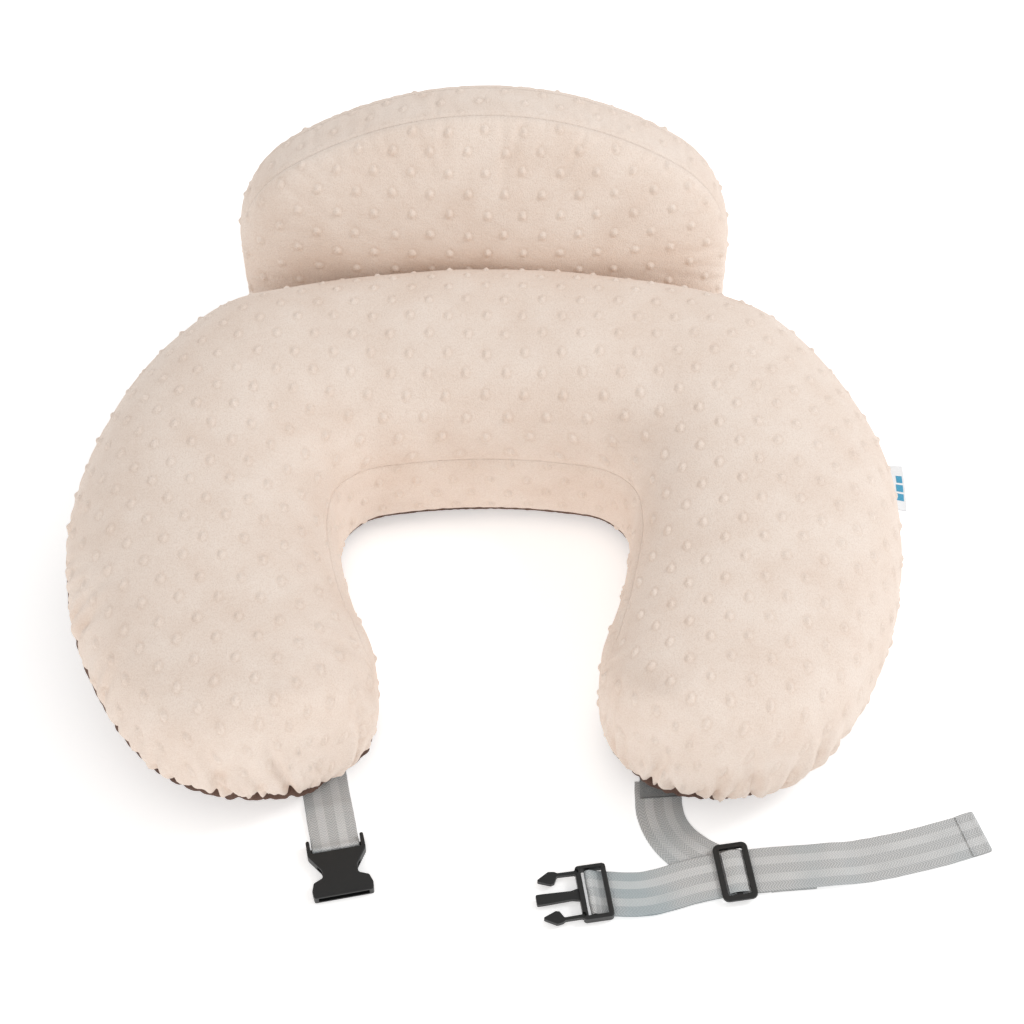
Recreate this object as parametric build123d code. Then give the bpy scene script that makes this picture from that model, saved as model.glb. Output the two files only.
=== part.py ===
from build123d import *
import os
from math import asin, atan2, cos, degrees, hypot, radians, sin, sqrt, tan

# Nursing pillow: a U-shaped main pillow, a half-moon support pillow standing behind it, and a waist
# belt in two halves with a side-release buckle. Millimetres; +Z up, +Y to the back of the pillow.
# The origin is on the floor, under the middle of the back of the U.

os.makedirs("parts", exist_ok=True)

# Fabrics, and the clearance left between nested layers
PLUSH = 1.5
LINER = 0.6
LAYER_GAP = 0.3

# Main pillow: its right half in plan is a chain of tangent arcs, (radius, clockwise turn in degrees),
# from the middle of the back, round the arm, to the middle of the waist hole
MAIN_HEIGHT = 170.0
BACK_Y = 93.0
BACK_RADIUS = 760.0
OUTER_ARCS = [
    (BACK_RADIUS, 15.8),
    (121.0, 30.5),
    (290.0, 80.0),
    (114.0, 72.0),
    (107.0, 45.0),
    (80.0, 54.2),
]
HOLE_ARCS = [(242.0, -27.0), (48.3, -80.5)]
HOLE_BACK_TURN = -10.0
TOP_FILLET = 62.0
BOTTOM_FILLET = 40.0
OUTER_SEAM_Z = 35.0
GUSSET_BOTTOM_Z = 12.0
GUSSET_TOP_Z = 85.0
GUSSET_REACH = 25.0

# Support pillow: outline (half width, height to the widest level, height to the top), leaning back
SUPPORT_HALF_WIDTH = 207.0
SUPPORT_WIDEST = 134.0
SUPPORT_HEIGHT = 263.0
SUPPORT_SIDE_RADIUS = 95.0
SUPPORT_FOOT_RADIUS = 65.0
SUPPORT_FOOT_DROP = 5.0
SUPPORT_THICKNESS = 80.0
SUPPORT_EDGE = 20.0
SUPPORT_LEAN = 15.0
SUPPORT_Y = 68.0

# Hook and loop strips that hold the support pillow to the back of the U
HOLD_Z = (50.0, 88.0)
HOLD_HALF_ANGLE = 6.0
LOOP_RADII = (BACK_RADIUS + 0.2, BACK_RADIUS + 2.4)
HOOK_RADII = (BACK_RADIUS + 2.7, BACK_RADIUS + 6.2)
SUPPORT_CLEAR_RADIUS = BACK_RADIUS + 6.5
ZIP_CLEAR_RADIUS = BACK_RADIUS + 15.0
ZIP_CLEAR_Z = 46.0

# Zips
ZIP_TAPE_WIDTH = 14.0
ZIP_TAPE_THICKNESS = 0.8
COIL_WIDTH = 4.0
COIL_THICKNESS = 1.0
SLIDER_LENGTH = 12.0
SLIDER_WIDTH = 8.0
SLIDER_THICKNESS = 2.6
PULL_LENGTH = 18.0
PULL_WIDTH = 5.0
PULL_THICKNESS = 1.0
MAIN_ZIP_Z = 38.0
MAIN_ZIP_HALF_ANGLE = 14.0
SUPPORT_ZIP_HALF_LENGTH = 150.0
SUPPORT_ZIP_RISE = 48.0

# Webbing and its layers on the straight run; the lower layer lies over the ribbon on the floor
WEB = 38.0
WEB_T = 1.3
LAYER_PITCH = 1.6
RIBBON_Z = WEB_T / 2
LOWER_Z = RIBBON_Z + LAYER_PITCH
UPPER_Z = LOWER_Z + LAYER_PITCH

# Long belt half: root at the right arm, two tangent arcs on the floor, then the straight run
RUN_HEADING = 9.0
GLIDE_POINT = (198.0, -433.0)
ROOT_X = 140.0
ROOT_Y = -352.0
FIRST_ARC_Y = -368.0
FIRST_ARC = (55.0, 45.0)
BAR_FROM_GLIDE = 115.0
HAIRPIN_FROM_GLIDE = 62.0
TAIL_DROP = (70.0, 88.0)
TAIL_ARC = (600.0, 11.0)

# Short belt half at the left arm
SHORT_HEADING = -78.7
FEMALE_BAR = (-118.0, -410.4, 3.5)
SHORT_ROOT = -70.0
SHORT_DROP = (-42.0, -36.0)
SHORT_FOLD_BACK = 32.0

# Side-release buckle
BAR_R = 1.7
BAR_PLAY = 0.2
FEMALE_HEIGHT = 9.0
FEMALE_WALL = 1.9
EAR_LIFT = 1.6
MALE_BAR_R = 2.0
MALE_PLAY = 0.25
MALE_HALF_WIDTH = 23.5
MALE_HEIGHT = (2.0, 9.4)
END_BAR_Z = 6.4
PRONG_ROOT = (9.6, 19.0)
PRONG_KNUCKLE = 2.0
KNUCKLE_GAP = 0.25
PRONG_HEIGHT = (3.2, 7.4)

# Tri-glide
GLIDE_HALF = (14.0, 25.0)
GLIDE_OPENING = (9.5, 20.6)
GLIDE_BAR = 2.2
GLIDE_Z = (UPPER_Z + WEB_T / 2 + 0.25, UPPER_Z + WEB_T / 2 + 3.7)
HUMP_HALF_SPAN = 7.6
HUMP_TOP = 8.75
HUMP_FOOT = 5.3

# Side label: a folded tab standing out of the outer seam
LABEL_Y = -92.0
LABEL_LENGTH = 45.0
LABEL_REACH = 17.0
LABEL_THICKNESS = 0.9


def arc_end(x, y, heading, radius, turn):
    """Where a tangent arc ends; a positive turn is clockwise, and all angles are degrees."""
    side = 1 if turn > 0 else -1
    start, end = radians(heading), radians(heading - turn)
    x += side * radius * (sin(start) - sin(end))
    y -= side * radius * (cos(start) - cos(end))
    return x, y, heading - turn


def main_arcs():
    """The whole chain, closed by the arc that brings it back to the middle line."""
    x, y, heading = 0.0, BACK_Y, 0.0
    chain = OUTER_ARCS + HOLE_ARCS
    for radius, turn in chain:
        x, y, heading = arc_end(x, y, heading, radius, turn)
    return chain + [(x / sin(radians(-HOLE_BACK_TURN)), HOLE_BACK_TURN)]


def main_edges(inset):
    """Edges of the right half of the plan outline, moved into the pillow by inset."""
    x, y, heading = 0.0, BACK_Y - inset, 0.0
    edges = []
    for radius, turn in main_arcs():
        reach = radius - inset if turn > 0 else radius + inset
        direction = (cos(radians(heading)), sin(radians(heading)))
        edges.append(JernArc((x, y), direction, reach, -turn).edge())
        x, y, heading = arc_end(x, y, heading, reach, turn)
    return edges


def mirrored(edges):
    """The edges with their mirror images across the middle plane."""
    return edges + [edge.mirror(Plane.YZ) for edge in edges]


def main_block(inset):
    """The stuffed U, with all its surfaces moved inward by inset."""
    plan = make_face(mirrored(main_edges(inset)))
    block = extrude(Pos(0, 0, inset) * plan, MAIN_HEIGHT - 2 * inset)
    block = fillet(block.edges().group_by(Axis.Z)[-1], TOP_FILLET - inset)
    return fillet(block.edges().group_by(Axis.Z)[0], BOTTOM_FILLET - inset)


def slab(low, high):
    """A wide slab between two heights."""
    return Pos(0, 0, low) * Box(1200, 1200, high - low, align=(Align.CENTER, Align.CENTER, Align.MIN))


def hole_band(low, high):
    """A band along the waist hole, which the inner gusset lies in."""
    count = len(HOLE_ARCS) + 1
    near, far = main_edges(-2)[-count:], main_edges(GUSSET_REACH)[-count:]
    ends = [Line(near[0] @ 0, far[0] @ 0).edge()]
    face = make_face(mirrored(near + far + ends))
    return extrude(Pos(0, 0, low) * face, high - low)


def main_panels():
    """The three plush panels of the main cover."""
    shell = main_block(0) - main_block(PLUSH)
    gusset = shell & hole_band(GUSSET_BOTTOM_Z, GUSSET_TOP_Z)
    upper = (shell & slab(OUTER_SEAM_Z, MAIN_HEIGHT + 1)) - hole_band(0, GUSSET_TOP_Z)
    lower = (shell & slab(-1, OUTER_SEAM_Z)) - hole_band(GUSSET_BOTTOM_Z, GUSSET_TOP_Z)
    return {"main_top_panel": upper, "main_inner_gusset": gusset, "main_bottom_panel": lower}


def layers(block):
    """A closed liner bag and the filling in it, for a function that gives a block by its inset."""
    bag = PLUSH + LAYER_GAP
    filling = bag + LINER + LAYER_GAP
    return block(bag) - block(bag + LINER), block(filling)


def back_band(radii, half_angle, low, high):
    """A band on the cylinder of the back wall of the U."""
    inner, outer = radii
    sector = CenterArc((0, 0), outer, 90 - half_angle, 2 * half_angle)
    back = CenterArc((0, 0), inner, 90 - half_angle, 2 * half_angle)
    face = make_face([sector, back, Line(sector @ 0, back @ 0), Line(sector @ 1, back @ 1)])
    return extrude(Pos(0, BACK_Y - BACK_RADIUS, low) * face, high - low)


def support_edges(inset):
    """Edges of the right half of the support pillow's outline, in the plane of its front."""
    wide = SUPPORT_HALF_WIDTH - SUPPORT_SIDE_RADIUS
    tall = SUPPORT_HEIGHT - SUPPORT_WIDEST - SUPPORT_SIDE_RADIUS
    reach = (wide**2 + tall**2) / (2 * tall)
    top_turn = degrees(asin(wide / reach))
    top_radius = reach + SUPPORT_SIDE_RADIUS - inset
    crown = JernArc((0, SUPPORT_HEIGHT - inset), (1, 0), top_radius, -top_turn)
    side = JernArc(crown @ 1, crown % 1, SUPPORT_SIDE_RADIUS - inset, top_turn - 90)
    foot_top = Vector((side @ 1).X, SUPPORT_FOOT_RADIUS - SUPPORT_FOOT_DROP)
    wall = Line(side @ 1, foot_top)
    foot = JernArc(foot_top, (0, -1), SUPPORT_FOOT_RADIUS - inset, -90)
    base = Line(foot @ 1, (0, (foot @ 1).Y))
    return [edge.edge() for edge in (crown, side, wall, foot, base)]


def lean(shape):
    """Places a shape built upright, with its front in the plane y = 0."""
    return Pos(0, SUPPORT_Y, 0) * Rot(-SUPPORT_LEAN, 0, 0) * shape


def front_hollow(inset):
    """What is cut from the front of the support pillow: the back of the U, and room for its zip."""
    axis = Pos(0, BACK_Y - BACK_RADIUS, 0)
    low = (Align.CENTER, Align.CENTER, Align.MIN)
    wall = axis * Cylinder(SUPPORT_CLEAR_RADIUS + inset, 400, align=low)
    return wall + axis * Cylinder(ZIP_CLEAR_RADIUS + inset, ZIP_CLEAR_Z + inset, align=low)


def support_block(inset):
    """The stuffed half-moon, flat on the floor and hollowed to follow the back of the U."""
    outline = make_face(mirrored(support_edges(inset)))
    depth = SUPPORT_THICKNESS - 2 * inset
    block = extrude(Pos(0, inset, 0) * Rot(90, 0, 0) * outline, -depth)
    block = fillet(block.edges().group_by(Axis.Y)[0], SUPPORT_EDGE - inset)
    block = fillet(block.edges().group_by(Axis.Y)[-1], SUPPORT_EDGE - inset)
    return (lean(block) & slab(inset, 400)) - front_hollow(inset)


def support_panels():
    """Front, back, gusset and base panels of the support cover."""
    shell = support_block(0) - support_block(PLUSH)
    base = shell & slab(-1, PLUSH)
    wall = shell - slab(-1, PLUSH)
    hollow = front_hollow(PLUSH + 0.01)
    far = Box(1200, 1000, 1200, align=(Align.CENTER, Align.MIN, Align.CENTER))
    near = Box(1200, 1000, 1200, align=(Align.CENTER, Align.MAX, Align.CENTER))
    front = wall & (lean(Pos(0, SUPPORT_EDGE, 0) * near) + hollow)
    back = wall & lean(Pos(0, SUPPORT_THICKNESS - SUPPORT_EDGE, 0) * far)
    gusset = wall & lean(Pos(0, SUPPORT_EDGE, 0) * far)
    gusset = (gusset & lean(Pos(0, SUPPORT_THICKNESS - SUPPORT_EDGE, 0) * near)) - hollow
    return {
        "support_front_panel": front,
        "support_back_panel": back,
        "support_gusset": gusset,
        "support_base_panel": base,
    }


def slider_body():
    """A zip slider lying on the plane z = 0, with its loop for the pull."""
    shoe = Box(SLIDER_LENGTH, SLIDER_WIDTH, SLIDER_THICKNESS, align=(Align.CENTER, Align.CENTER, Align.MIN))
    shoe = fillet(shoe.edges().filter_by(Axis.Z), 2.0)
    return fillet(shoe.edges().group_by(Axis.Z)[-1], 0.6)


def pull_tab():
    """A flat pull, hanging toward -Y from its ring at the origin, on the plane z = 0."""
    tab = Pos(0, -PULL_LENGTH / 2, 0) * Box(
        PULL_WIDTH, PULL_LENGTH, PULL_THICKNESS, align=(Align.CENTER, Align.CENTER, Align.MIN)
    )
    tab = fillet(tab.edges().filter_by(Axis.Z), 1.6)
    eye = Pos(0, -2.4, 0) * Cylinder(1.1, 4 * PULL_THICKNESS)
    return tab - eye


def main_zip():
    """Tapes, coil, slider and pull of the zip low on the back wall."""
    base = BACK_RADIUS + 0.2
    low, high = MAIN_ZIP_Z - ZIP_TAPE_WIDTH / 2, MAIN_ZIP_Z + ZIP_TAPE_WIDTH / 2
    coil_low, coil_high = MAIN_ZIP_Z - COIL_WIDTH / 2, MAIN_ZIP_Z + COIL_WIDTH / 2
    face = base + ZIP_TAPE_THICKNESS
    start = radians(90 + MAIN_ZIP_HALF_ANGLE - 0.8)
    outward = Vector(cos(start), sin(start), 0)
    seat = Vector(0, BACK_Y - BACK_RADIUS, MAIN_ZIP_Z) + outward * (face + COIL_THICKNESS + 0.2)
    on_wall = Plane(origin=seat, x_dir=(-sin(start), cos(start), 0), z_dir=outward)
    return {
        "main_zip_tapes": back_band((base, face), MAIN_ZIP_HALF_ANGLE, low, high),
        "main_zip_coil": back_band((face, face + COIL_THICKNESS), MAIN_ZIP_HALF_ANGLE, coil_low, coil_high),
        "main_zip_slider": on_wall * slider_body(),
        "main_zip_pull": on_wall * Pos(0, -SLIDER_WIDTH / 2 - 0.4, 0.4) * pull_tab(),
    }


def support_zip():
    """Tapes, coil, slider and pull of the straight zip low on the back of the support pillow."""
    length = 2 * SUPPORT_ZIP_HALF_LENGTH
    face = SUPPORT_THICKNESS + 0.2
    on_back = Plane(origin=(0, face, SUPPORT_ZIP_RISE), x_dir=(-1, 0, 0), z_dir=(0, 1, 0))
    low = (Align.CENTER, Align.CENTER, Align.MIN)
    tapes = Box(length, ZIP_TAPE_WIDTH, ZIP_TAPE_THICKNESS, align=low)
    coil = Pos(0, 0, ZIP_TAPE_THICKNESS) * Box(length, COIL_WIDTH, COIL_THICKNESS, align=low)
    seat = Pos(length / 2 - SLIDER_LENGTH, 0, ZIP_TAPE_THICKNESS + COIL_THICKNESS + 0.2)
    parts = {
        "support_zip_tapes": tapes,
        "support_zip_coil": coil,
        "support_zip_slider": seat * slider_body(),
        "support_zip_pull": seat * Pos(0, -SLIDER_WIDTH / 2 - 0.4, 0.4) * pull_tab(),
    }
    return {name: lean(on_back * shape) for name, shape in parts.items()}


def side_label():
    """The folded tab, at right angles to the outer seam."""
    x, y, heading = 0.0, BACK_Y, 0.0
    for radius, turn in OUTER_ARCS[:2]:
        x, y, heading = arc_end(x, y, heading, radius, turn)
    radius = OUTER_ARCS[2][0]
    centre_x = x + radius * sin(radians(heading))
    centre_y = y - radius * cos(radians(heading))
    angle = degrees(asin((LABEL_Y - centre_y) / radius))
    tab = Box(LABEL_REACH, LABEL_LENGTH, LABEL_THICKNESS, align=(Align.MIN, Align.CENTER, Align.CENTER))
    return Pos(centre_x, centre_y, OUTER_SEAM_Z) * Rot(0, 0, angle) * Pos(radius + 0.8, 0, 0) * tab


def ribbon_section(path):
    """Sweeps the webbing's section along a path in the XZ plane."""
    start = Plane(origin=path @ 0, x_dir=(0, 1, 0), z_dir=path % 0)
    return sweep(start * Rectangle(WEB, WEB_T), path=path)


def flat_arc(x, y, heading, radius, turn, z):
    """A ribbon flat on the floor along an arc that turns left, and where it ends."""
    sector = Pos(x - radius * sin(radians(heading)), y + radius * cos(radians(heading)), z)
    outer = CenterArc((0, 0), radius + WEB / 2, heading - 90, turn)
    inner = CenterArc((0, 0), radius - WEB / 2, heading - 90, turn)
    face = make_face([outer, inner, Line(outer @ 0, inner @ 0), Line(outer @ 1, inner @ 1)])
    return sector * extrude(face, WEB_T), arc_end(x, y, heading, radius, -turn)


def wrap_path(centre_z, radius, climb, flat_z, far_x, near_x):
    """Round a bar at x = 0: from far_x along flat_z, up at climb degrees, round and back beneath."""
    tangent = (-radius * sin(radians(climb)), centre_z + radius * cos(radians(climb)))
    foot = tangent[0] - (tangent[1] - flat_z) / tan(radians(climb))
    ramp = FilletPolyline((far_x, flat_z), (foot, flat_z), tangent, radius=4)
    turn = CenterArc((0, centre_z), radius, 90 + climb, -180 - climb)
    back = Line(turn @ 1, (near_x, centre_z - radius))
    return ramp, turn, back


def xz_wire(*curves):
    """The curves, drawn in x and y, stood up in the XZ plane as one wire."""
    return Wire([Rot(90, 0, 0) * edge for curve in curves for edge in curve.edges()])


def on_run(shape):
    """Places a shape drawn with x along the straight run and 0 at the tri-glide."""
    return Pos(*GLIDE_POINT) * Rot(0, 0, RUN_HEADING) * shape


def long_strap():
    """One length of webbing: root, floor curve, hairpin, buckle bar and tail."""
    first_radius, first_turn = FIRST_ARC
    root = Pos(ROOT_X, (ROOT_Y + FIRST_ARC_Y) / 2, RIBBON_Z) * Box(WEB, ROOT_Y - FIRST_ARC_Y, WEB_T)
    first, (x, y, heading) = flat_arc(ROOT_X, FIRST_ARC_Y, -90, first_radius, first_turn, 0)

    run = radians(RUN_HEADING)
    left = radians(heading)
    above = (y - GLIDE_POINT[1]) - (x - GLIDE_POINT[0]) * tan(run)
    fall = (cos(run) - cos(left)) + (sin(run) - sin(left)) * tan(run)
    second, (x, y, heading) = flat_arc(x, y, heading, above / fall, RUN_HEADING - heading, 0)
    joined = (x - GLIDE_POINT[0]) / cos(run)

    bar_z = LOWER_Z + MALE_BAR_R + MALE_PLAY + WEB_T / 2
    radius = bar_z - LOWER_Z
    ramp, turn, back = wrap_path(bar_z, radius, 40, UPPER_Z, -BAR_FROM_GLIDE - TAIL_DROP[0], -BAR_FROM_GLIDE)
    hairpin = HAIRPIN_FROM_GLIDE
    lower = Line(turn @ 1, (-BAR_FROM_GLIDE - hairpin, LOWER_Z))
    fold_z = (LOWER_Z + RIBBON_Z) / 2
    fold = CenterArc((-BAR_FROM_GLIDE - hairpin, fold_z), LAYER_PITCH / 2, 90, 180)
    under = Line(fold @ 1, (-BAR_FROM_GLIDE - joined, RIBBON_Z))
    straight = ribbon_section(xz_wire(ramp, turn, lower, fold, under))
    straight = on_run(Pos(-BAR_FROM_GLIDE, 0, 0) * Rot(0, 0, 180) * straight)

    drop = FilletPolyline(
        (TAIL_DROP[0], UPPER_Z),
        (TAIL_DROP[0] + 6, UPPER_Z),
        (TAIL_DROP[1] - 6, RIBBON_Z),
        (TAIL_DROP[1], RIBBON_Z),
        radius=12,
    )
    fall = on_run(ribbon_section(xz_wire(drop)))
    end_x = GLIDE_POINT[0] + TAIL_DROP[1] * cos(run)
    end_y = GLIDE_POINT[1] + TAIL_DROP[1] * sin(run)
    tail, _ = flat_arc(end_x, end_y, RUN_HEADING, *TAIL_ARC, 0)
    return root + first + second + straight + fall + tail


def short_strap():
    """Webbing from the left arm, round the bar of the female buckle and back under itself."""
    x, y, bar_z = FEMALE_BAR
    radius = BAR_R + BAR_PLAY + WEB_T / 2
    flat_z = bar_z - radius + WEB_T + 0.15
    ramp, turn, back = wrap_path(bar_z, radius, 35, flat_z, SHORT_DROP[1] + 6, -SHORT_FOLD_BACK)
    drop = FilletPolyline(
        (SHORT_ROOT, RIBBON_Z),
        (SHORT_DROP[0], RIBBON_Z),
        (SHORT_DROP[1], flat_z),
        (SHORT_DROP[1] + 6, flat_z),
        radius=6,
    )
    strap = ribbon_section(xz_wire(drop, ramp, turn, back))
    return Pos(x, y, 0) * Rot(0, 0, SHORT_HEADING) * strap


def female_buckle():
    """The socket half: ears each side of the strap bar, a waist with side windows, a wide mouth."""
    half = FilletPolyline(
        (43.5, 0),
        (43.5, 23.6),
        (37, 24.4),
        (30, 22.2),
        (26.5, 14.2),
        (20, 14.2),
        (6, 23.4),
        (-7.5, 23.2),
        (-7.5, 20.2),
        (4, 20.2),
        (4, 0),
        radius=[1.6, 3, 2.6, 2.4, 6, 5, 1.4, 1.4, 1.2],
    )
    outline = make_face(half.edges() + half.mirror(Plane.XZ).edges())
    body = extrude(outline, FEMALE_HEIGHT)
    body = fillet(body.edges().group_by(Axis.Z)[-1], 0.9)
    body = fillet(body.edges().group_by(Axis.Z)[0], 0.6)
    ears = Pos(-8, 0, 0) * Box(12, 60, EAR_LIFT, align=(Align.MIN, Align.CENTER, Align.MIN))
    cavity_height = FEMALE_HEIGHT - 2 * FEMALE_WALL
    cavity = Pos(15, 0, FEMALE_WALL) * Box(
        30, 40.4, cavity_height, align=(Align.MIN, Align.CENTER, Align.MIN)
    )
    bar_z = FEMALE_BAR[2]
    bar = Pos(0, 0, bar_z) * Rot(90, 0, 0) * Cylinder(BAR_R, 42)
    return body - cavity - ears + bar


def place_female(shape):
    return Pos(FEMALE_BAR[0], FEMALE_BAR[1], 0) * Rot(0, 0, SHORT_HEADING) * shape


def place_male(shape):
    """Places a shape drawn with its strap bar on x = 0 and its prongs toward +X."""
    return on_run(Pos(-BAR_FROM_GLIDE, 0, 0) * Rot(0, 0, 180) * shape)


def male_buckle_body():
    """The plug half without its side prongs: end bar, strap bar, cross piece and centre guide."""
    low, high = MALE_HEIGHT
    bar_z = LOWER_Z + MALE_BAR_R + MALE_PLAY + WEB_T / 2
    floor = (Align.MIN, Align.CENTER, Align.MIN)
    frame = Pos(-14.5, 0, low) * Box(24.5, 2 * MALE_HALF_WIDTH, high - low, align=floor)
    frame = fillet(frame.edges().filter_by(Axis.Z), 3.0)
    frame = fillet(frame.edges().group_by(Axis.Z)[-1], 1.2)
    opening = Pos(-10.6, 0, low - 1) * Box(16.4, 40.6, high - low + 2, align=floor)
    under_end = Pos(-16, 0, low - 1) * Box(8, 40.6, END_BAR_Z - low + 1, align=floor)
    bar = Pos(0, 0, bar_z) * Rot(90, 0, 0) * Cylinder(MALE_BAR_R, 43)
    guide_outline = FilletPolyline(
        (9, 0), (9, 5.2), (16, 3.6), (38, 4.4), (44, 4.4), (44, 0), radius=[1, 6, 20, 1.2]
    )
    guide_face = make_face(guide_outline.edges() + guide_outline.mirror(Plane.XZ).edges())
    guide = Pos(0, 0, PRONG_HEIGHT[0]) * extrude(guide_face, PRONG_HEIGHT[1] - PRONG_HEIGHT[0])
    guide = fillet(guide.edges().group_by(Axis.Z)[-1], 0.6)
    body = frame - opening - under_end + bar + guide
    root_x, root_y = PRONG_ROOT
    for side in (-1, 1):
        socket = Pos(root_x, side * root_y, 5) * Cylinder(PRONG_KNUCKLE + KNUCKLE_GAP, 12)
        throat = Pos(root_x, side * root_y, 5) * Box(
            6, 2 * PRONG_KNUCKLE + 1.2, 12, align=(Align.MIN, Align.CENTER, Align.CENTER)
        )
        body = body - socket - throat
    return body


def prong(side):
    """A springy side prong with its arrow head; side is 1 or -1."""
    root_x, root_y = PRONG_ROOT
    head = FilletPolyline(
        (root_x, 17.6),
        (24.5, 18.0),
        (27.5, 12.4),
        (30.5, 11.6),
        (42, 16.2),
        (31, 22.8),
        (26, 22.0),
        (24, 20.6),
        (root_x, 20.4),
        radius=[1.2, 1, 1.5, 1.2, 3, 1.5, 1.5],
    )
    outline = make_face(head.edges() + [Line(head @ 1, head @ 0)])
    low, high = PRONG_HEIGHT
    arm = extrude(Pos(0, 0, low) * outline, high - low)
    arm = arm + Pos(root_x, root_y, (low + high) / 2) * Cylinder(PRONG_KNUCKLE, high - low)
    arm = fillet(arm.edges().group_by(Axis.Z)[-1], 0.5)
    return arm if side > 0 else arm.mirror(Plane.XZ)


def tri_glide():
    """The adjuster frame with its centre bar."""
    low, high = GLIDE_Z
    length, width = 2 * GLIDE_HALF[0], 2 * GLIDE_HALF[1]
    plate = fillet(Rectangle(length, width).vertices(), 5)
    frame = extrude(Pos(0, 0, low) * plate, high - low)
    frame = fillet(frame.edges().group_by(Axis.Z)[-1] + frame.edges().group_by(Axis.Z)[0], 1.0)
    hole = fillet(Rectangle(2 * GLIDE_OPENING[0], 2 * GLIDE_OPENING[1]).vertices(), 1.5)
    frame -= extrude(Pos(0, 0, low - 1) * hole, high - low + 2)
    bar = Pos(0, 0, low) * Box(
        2 * GLIDE_BAR, width - 4, high - low - 0.8, align=(Align.CENTER, Align.CENTER, Align.MIN)
    )
    return frame + bar


def strap_hump():
    """The webbing's turn over the centre bar of the tri-glide, narrower by the play in its slots."""
    span = HUMP_HALF_SPAN
    arch = ThreePointArc((-span, HUMP_FOOT), (0, HUMP_TOP), (span, HUMP_FOOT))
    return ribbon_section(xz_wire(arch))


def build():
    """Every node by name."""
    parts = main_panels()
    parts["main_liner"], parts["main_filling"] = layers(main_block)
    parts.update(main_zip())
    parts["loop_strip"] = back_band(LOOP_RADII, HOLD_HALF_ANGLE, *HOLD_Z)
    parts["side_label"] = side_label()
    parts["short_strap"] = short_strap()
    parts["female_buckle"] = place_female(female_buckle())
    parts["long_strap"] = long_strap()
    parts["male_buckle"] = place_male(male_buckle_body())
    parts["rear_prong"] = place_male(prong(-1))
    parts["front_prong"] = place_male(prong(1))
    parts["tri_glide"] = on_run(tri_glide())
    parts["tri_glide_strap_turn"] = on_run(strap_hump())
    parts.update(support_panels())
    parts["support_liner"], parts["support_filling"] = layers(support_block)
    parts["hook_strip"] = back_band(HOOK_RADII, HOLD_HALF_ANGLE, *HOLD_Z)
    parts.update(support_zip())
    return parts


for name, shape in build().items():
    export_step(shape, f"parts/{name}.step")
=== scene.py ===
from math import ceil, cos, radians, sin

import bpy
import numpy as np
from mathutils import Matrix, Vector


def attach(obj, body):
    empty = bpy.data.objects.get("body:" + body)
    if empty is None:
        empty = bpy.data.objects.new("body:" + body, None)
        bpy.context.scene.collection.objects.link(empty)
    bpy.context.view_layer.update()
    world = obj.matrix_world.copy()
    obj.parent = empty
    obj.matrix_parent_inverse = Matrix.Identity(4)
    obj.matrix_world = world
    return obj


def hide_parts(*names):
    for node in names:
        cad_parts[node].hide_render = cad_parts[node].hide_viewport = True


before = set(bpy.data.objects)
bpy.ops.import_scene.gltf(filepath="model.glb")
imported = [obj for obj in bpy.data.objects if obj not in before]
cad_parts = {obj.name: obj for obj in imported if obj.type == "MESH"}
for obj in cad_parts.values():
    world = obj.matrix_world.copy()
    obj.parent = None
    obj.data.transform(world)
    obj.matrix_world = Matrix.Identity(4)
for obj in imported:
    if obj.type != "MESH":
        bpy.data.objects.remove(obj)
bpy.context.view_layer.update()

# Shapes are worked out in millimetres, in the row frame, and become metres when a mesh is made.
METRE = 0.001

# Main pillow: the right half in plan, (radius, clockwise turn), from the middle of the back to the
# tip of the arm, and on from the tip to the middle of the waist hole
BACK_Y = 93.0
BACK_RADIUS = 760.0
TO_TIP = [(BACK_RADIUS, 15.8), (121.0, 30.5), (290.0, 80.0), (114.0, 72.0), (107.0, 22.5)]
TO_HOLE = [(107.0, 22.5), (80.0, 54.2), (242.0, -27.0), (48.3, -80.5), (482.5, -10.0)]
# Heights of its crest, of its widest lines, of the gusset's two seams and of the outer seam
CREST_Z = 169.0
TIP_CREST_DROP = 14.0
OUTER_EQUATOR_Z = 76.0
HOLE_EQUATOR_Z = 80.0
GUSSET_TOP_Z = 87.0
GUSSET_RISE = 26.0
GUSSET_LOW_Z = 12.0
BACK_SEAM_Z = 36.0
ARM_SEAM_Z = 28.0
# How far the cover's twist lifts the outer seam of the left arm, and lowers it at the arm's tip
COVER_TWIST = 54.0
LEFT_TIP_DROP = 10.0
# How far the underside panel reaches up behind the seam
TUCK = 3.0
DEEPEST_FOLD = 6.5
# Distances from the arm's tip, on the hole side, where the gusset starts and reaches its full width
GUSSET_TAPER = (12.0, 100.0)
# Exponent of the superellipse that the top of the section follows
TOP_POWER = 2.35
# Thickness of the plush and of the liner, and how far each pillow's liner and filling lie inside
PLUSH = 1.6
LINER = 0.6
MAIN_INSETS = (10.0, 11.7)
SUPPORT_INSETS = (6.0, 7.8)
# Small unevenness of the plan: (x, y, reach, move in x, move in y)
NUDGES = [
    (100, -275, 44, 9, 0),
    (100, -352, 30, -3, 0),
    (-94, -251, 38, -3.5, 0),
    (-98, -335, 30, 6.5, -4),
    (-100, -356, 34, -5, -4),
    (180, -385, 50, 0, 4),
    (-180, -385, 50, 0, 4),
    (340, -90, 75, 5, 0),
]
# The same for the support pillow, as (x, z, reach, move in x)
SUPPORT_NUDGES = [(-207, 130, 80, -8), (207, 120, 80, 3)]
# Points round each quarter of the U's outline
STATIONS = 540
# The top and the underside have the same folds at their common seam, so they share a seed
COVER_FOLDS = 11

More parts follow.
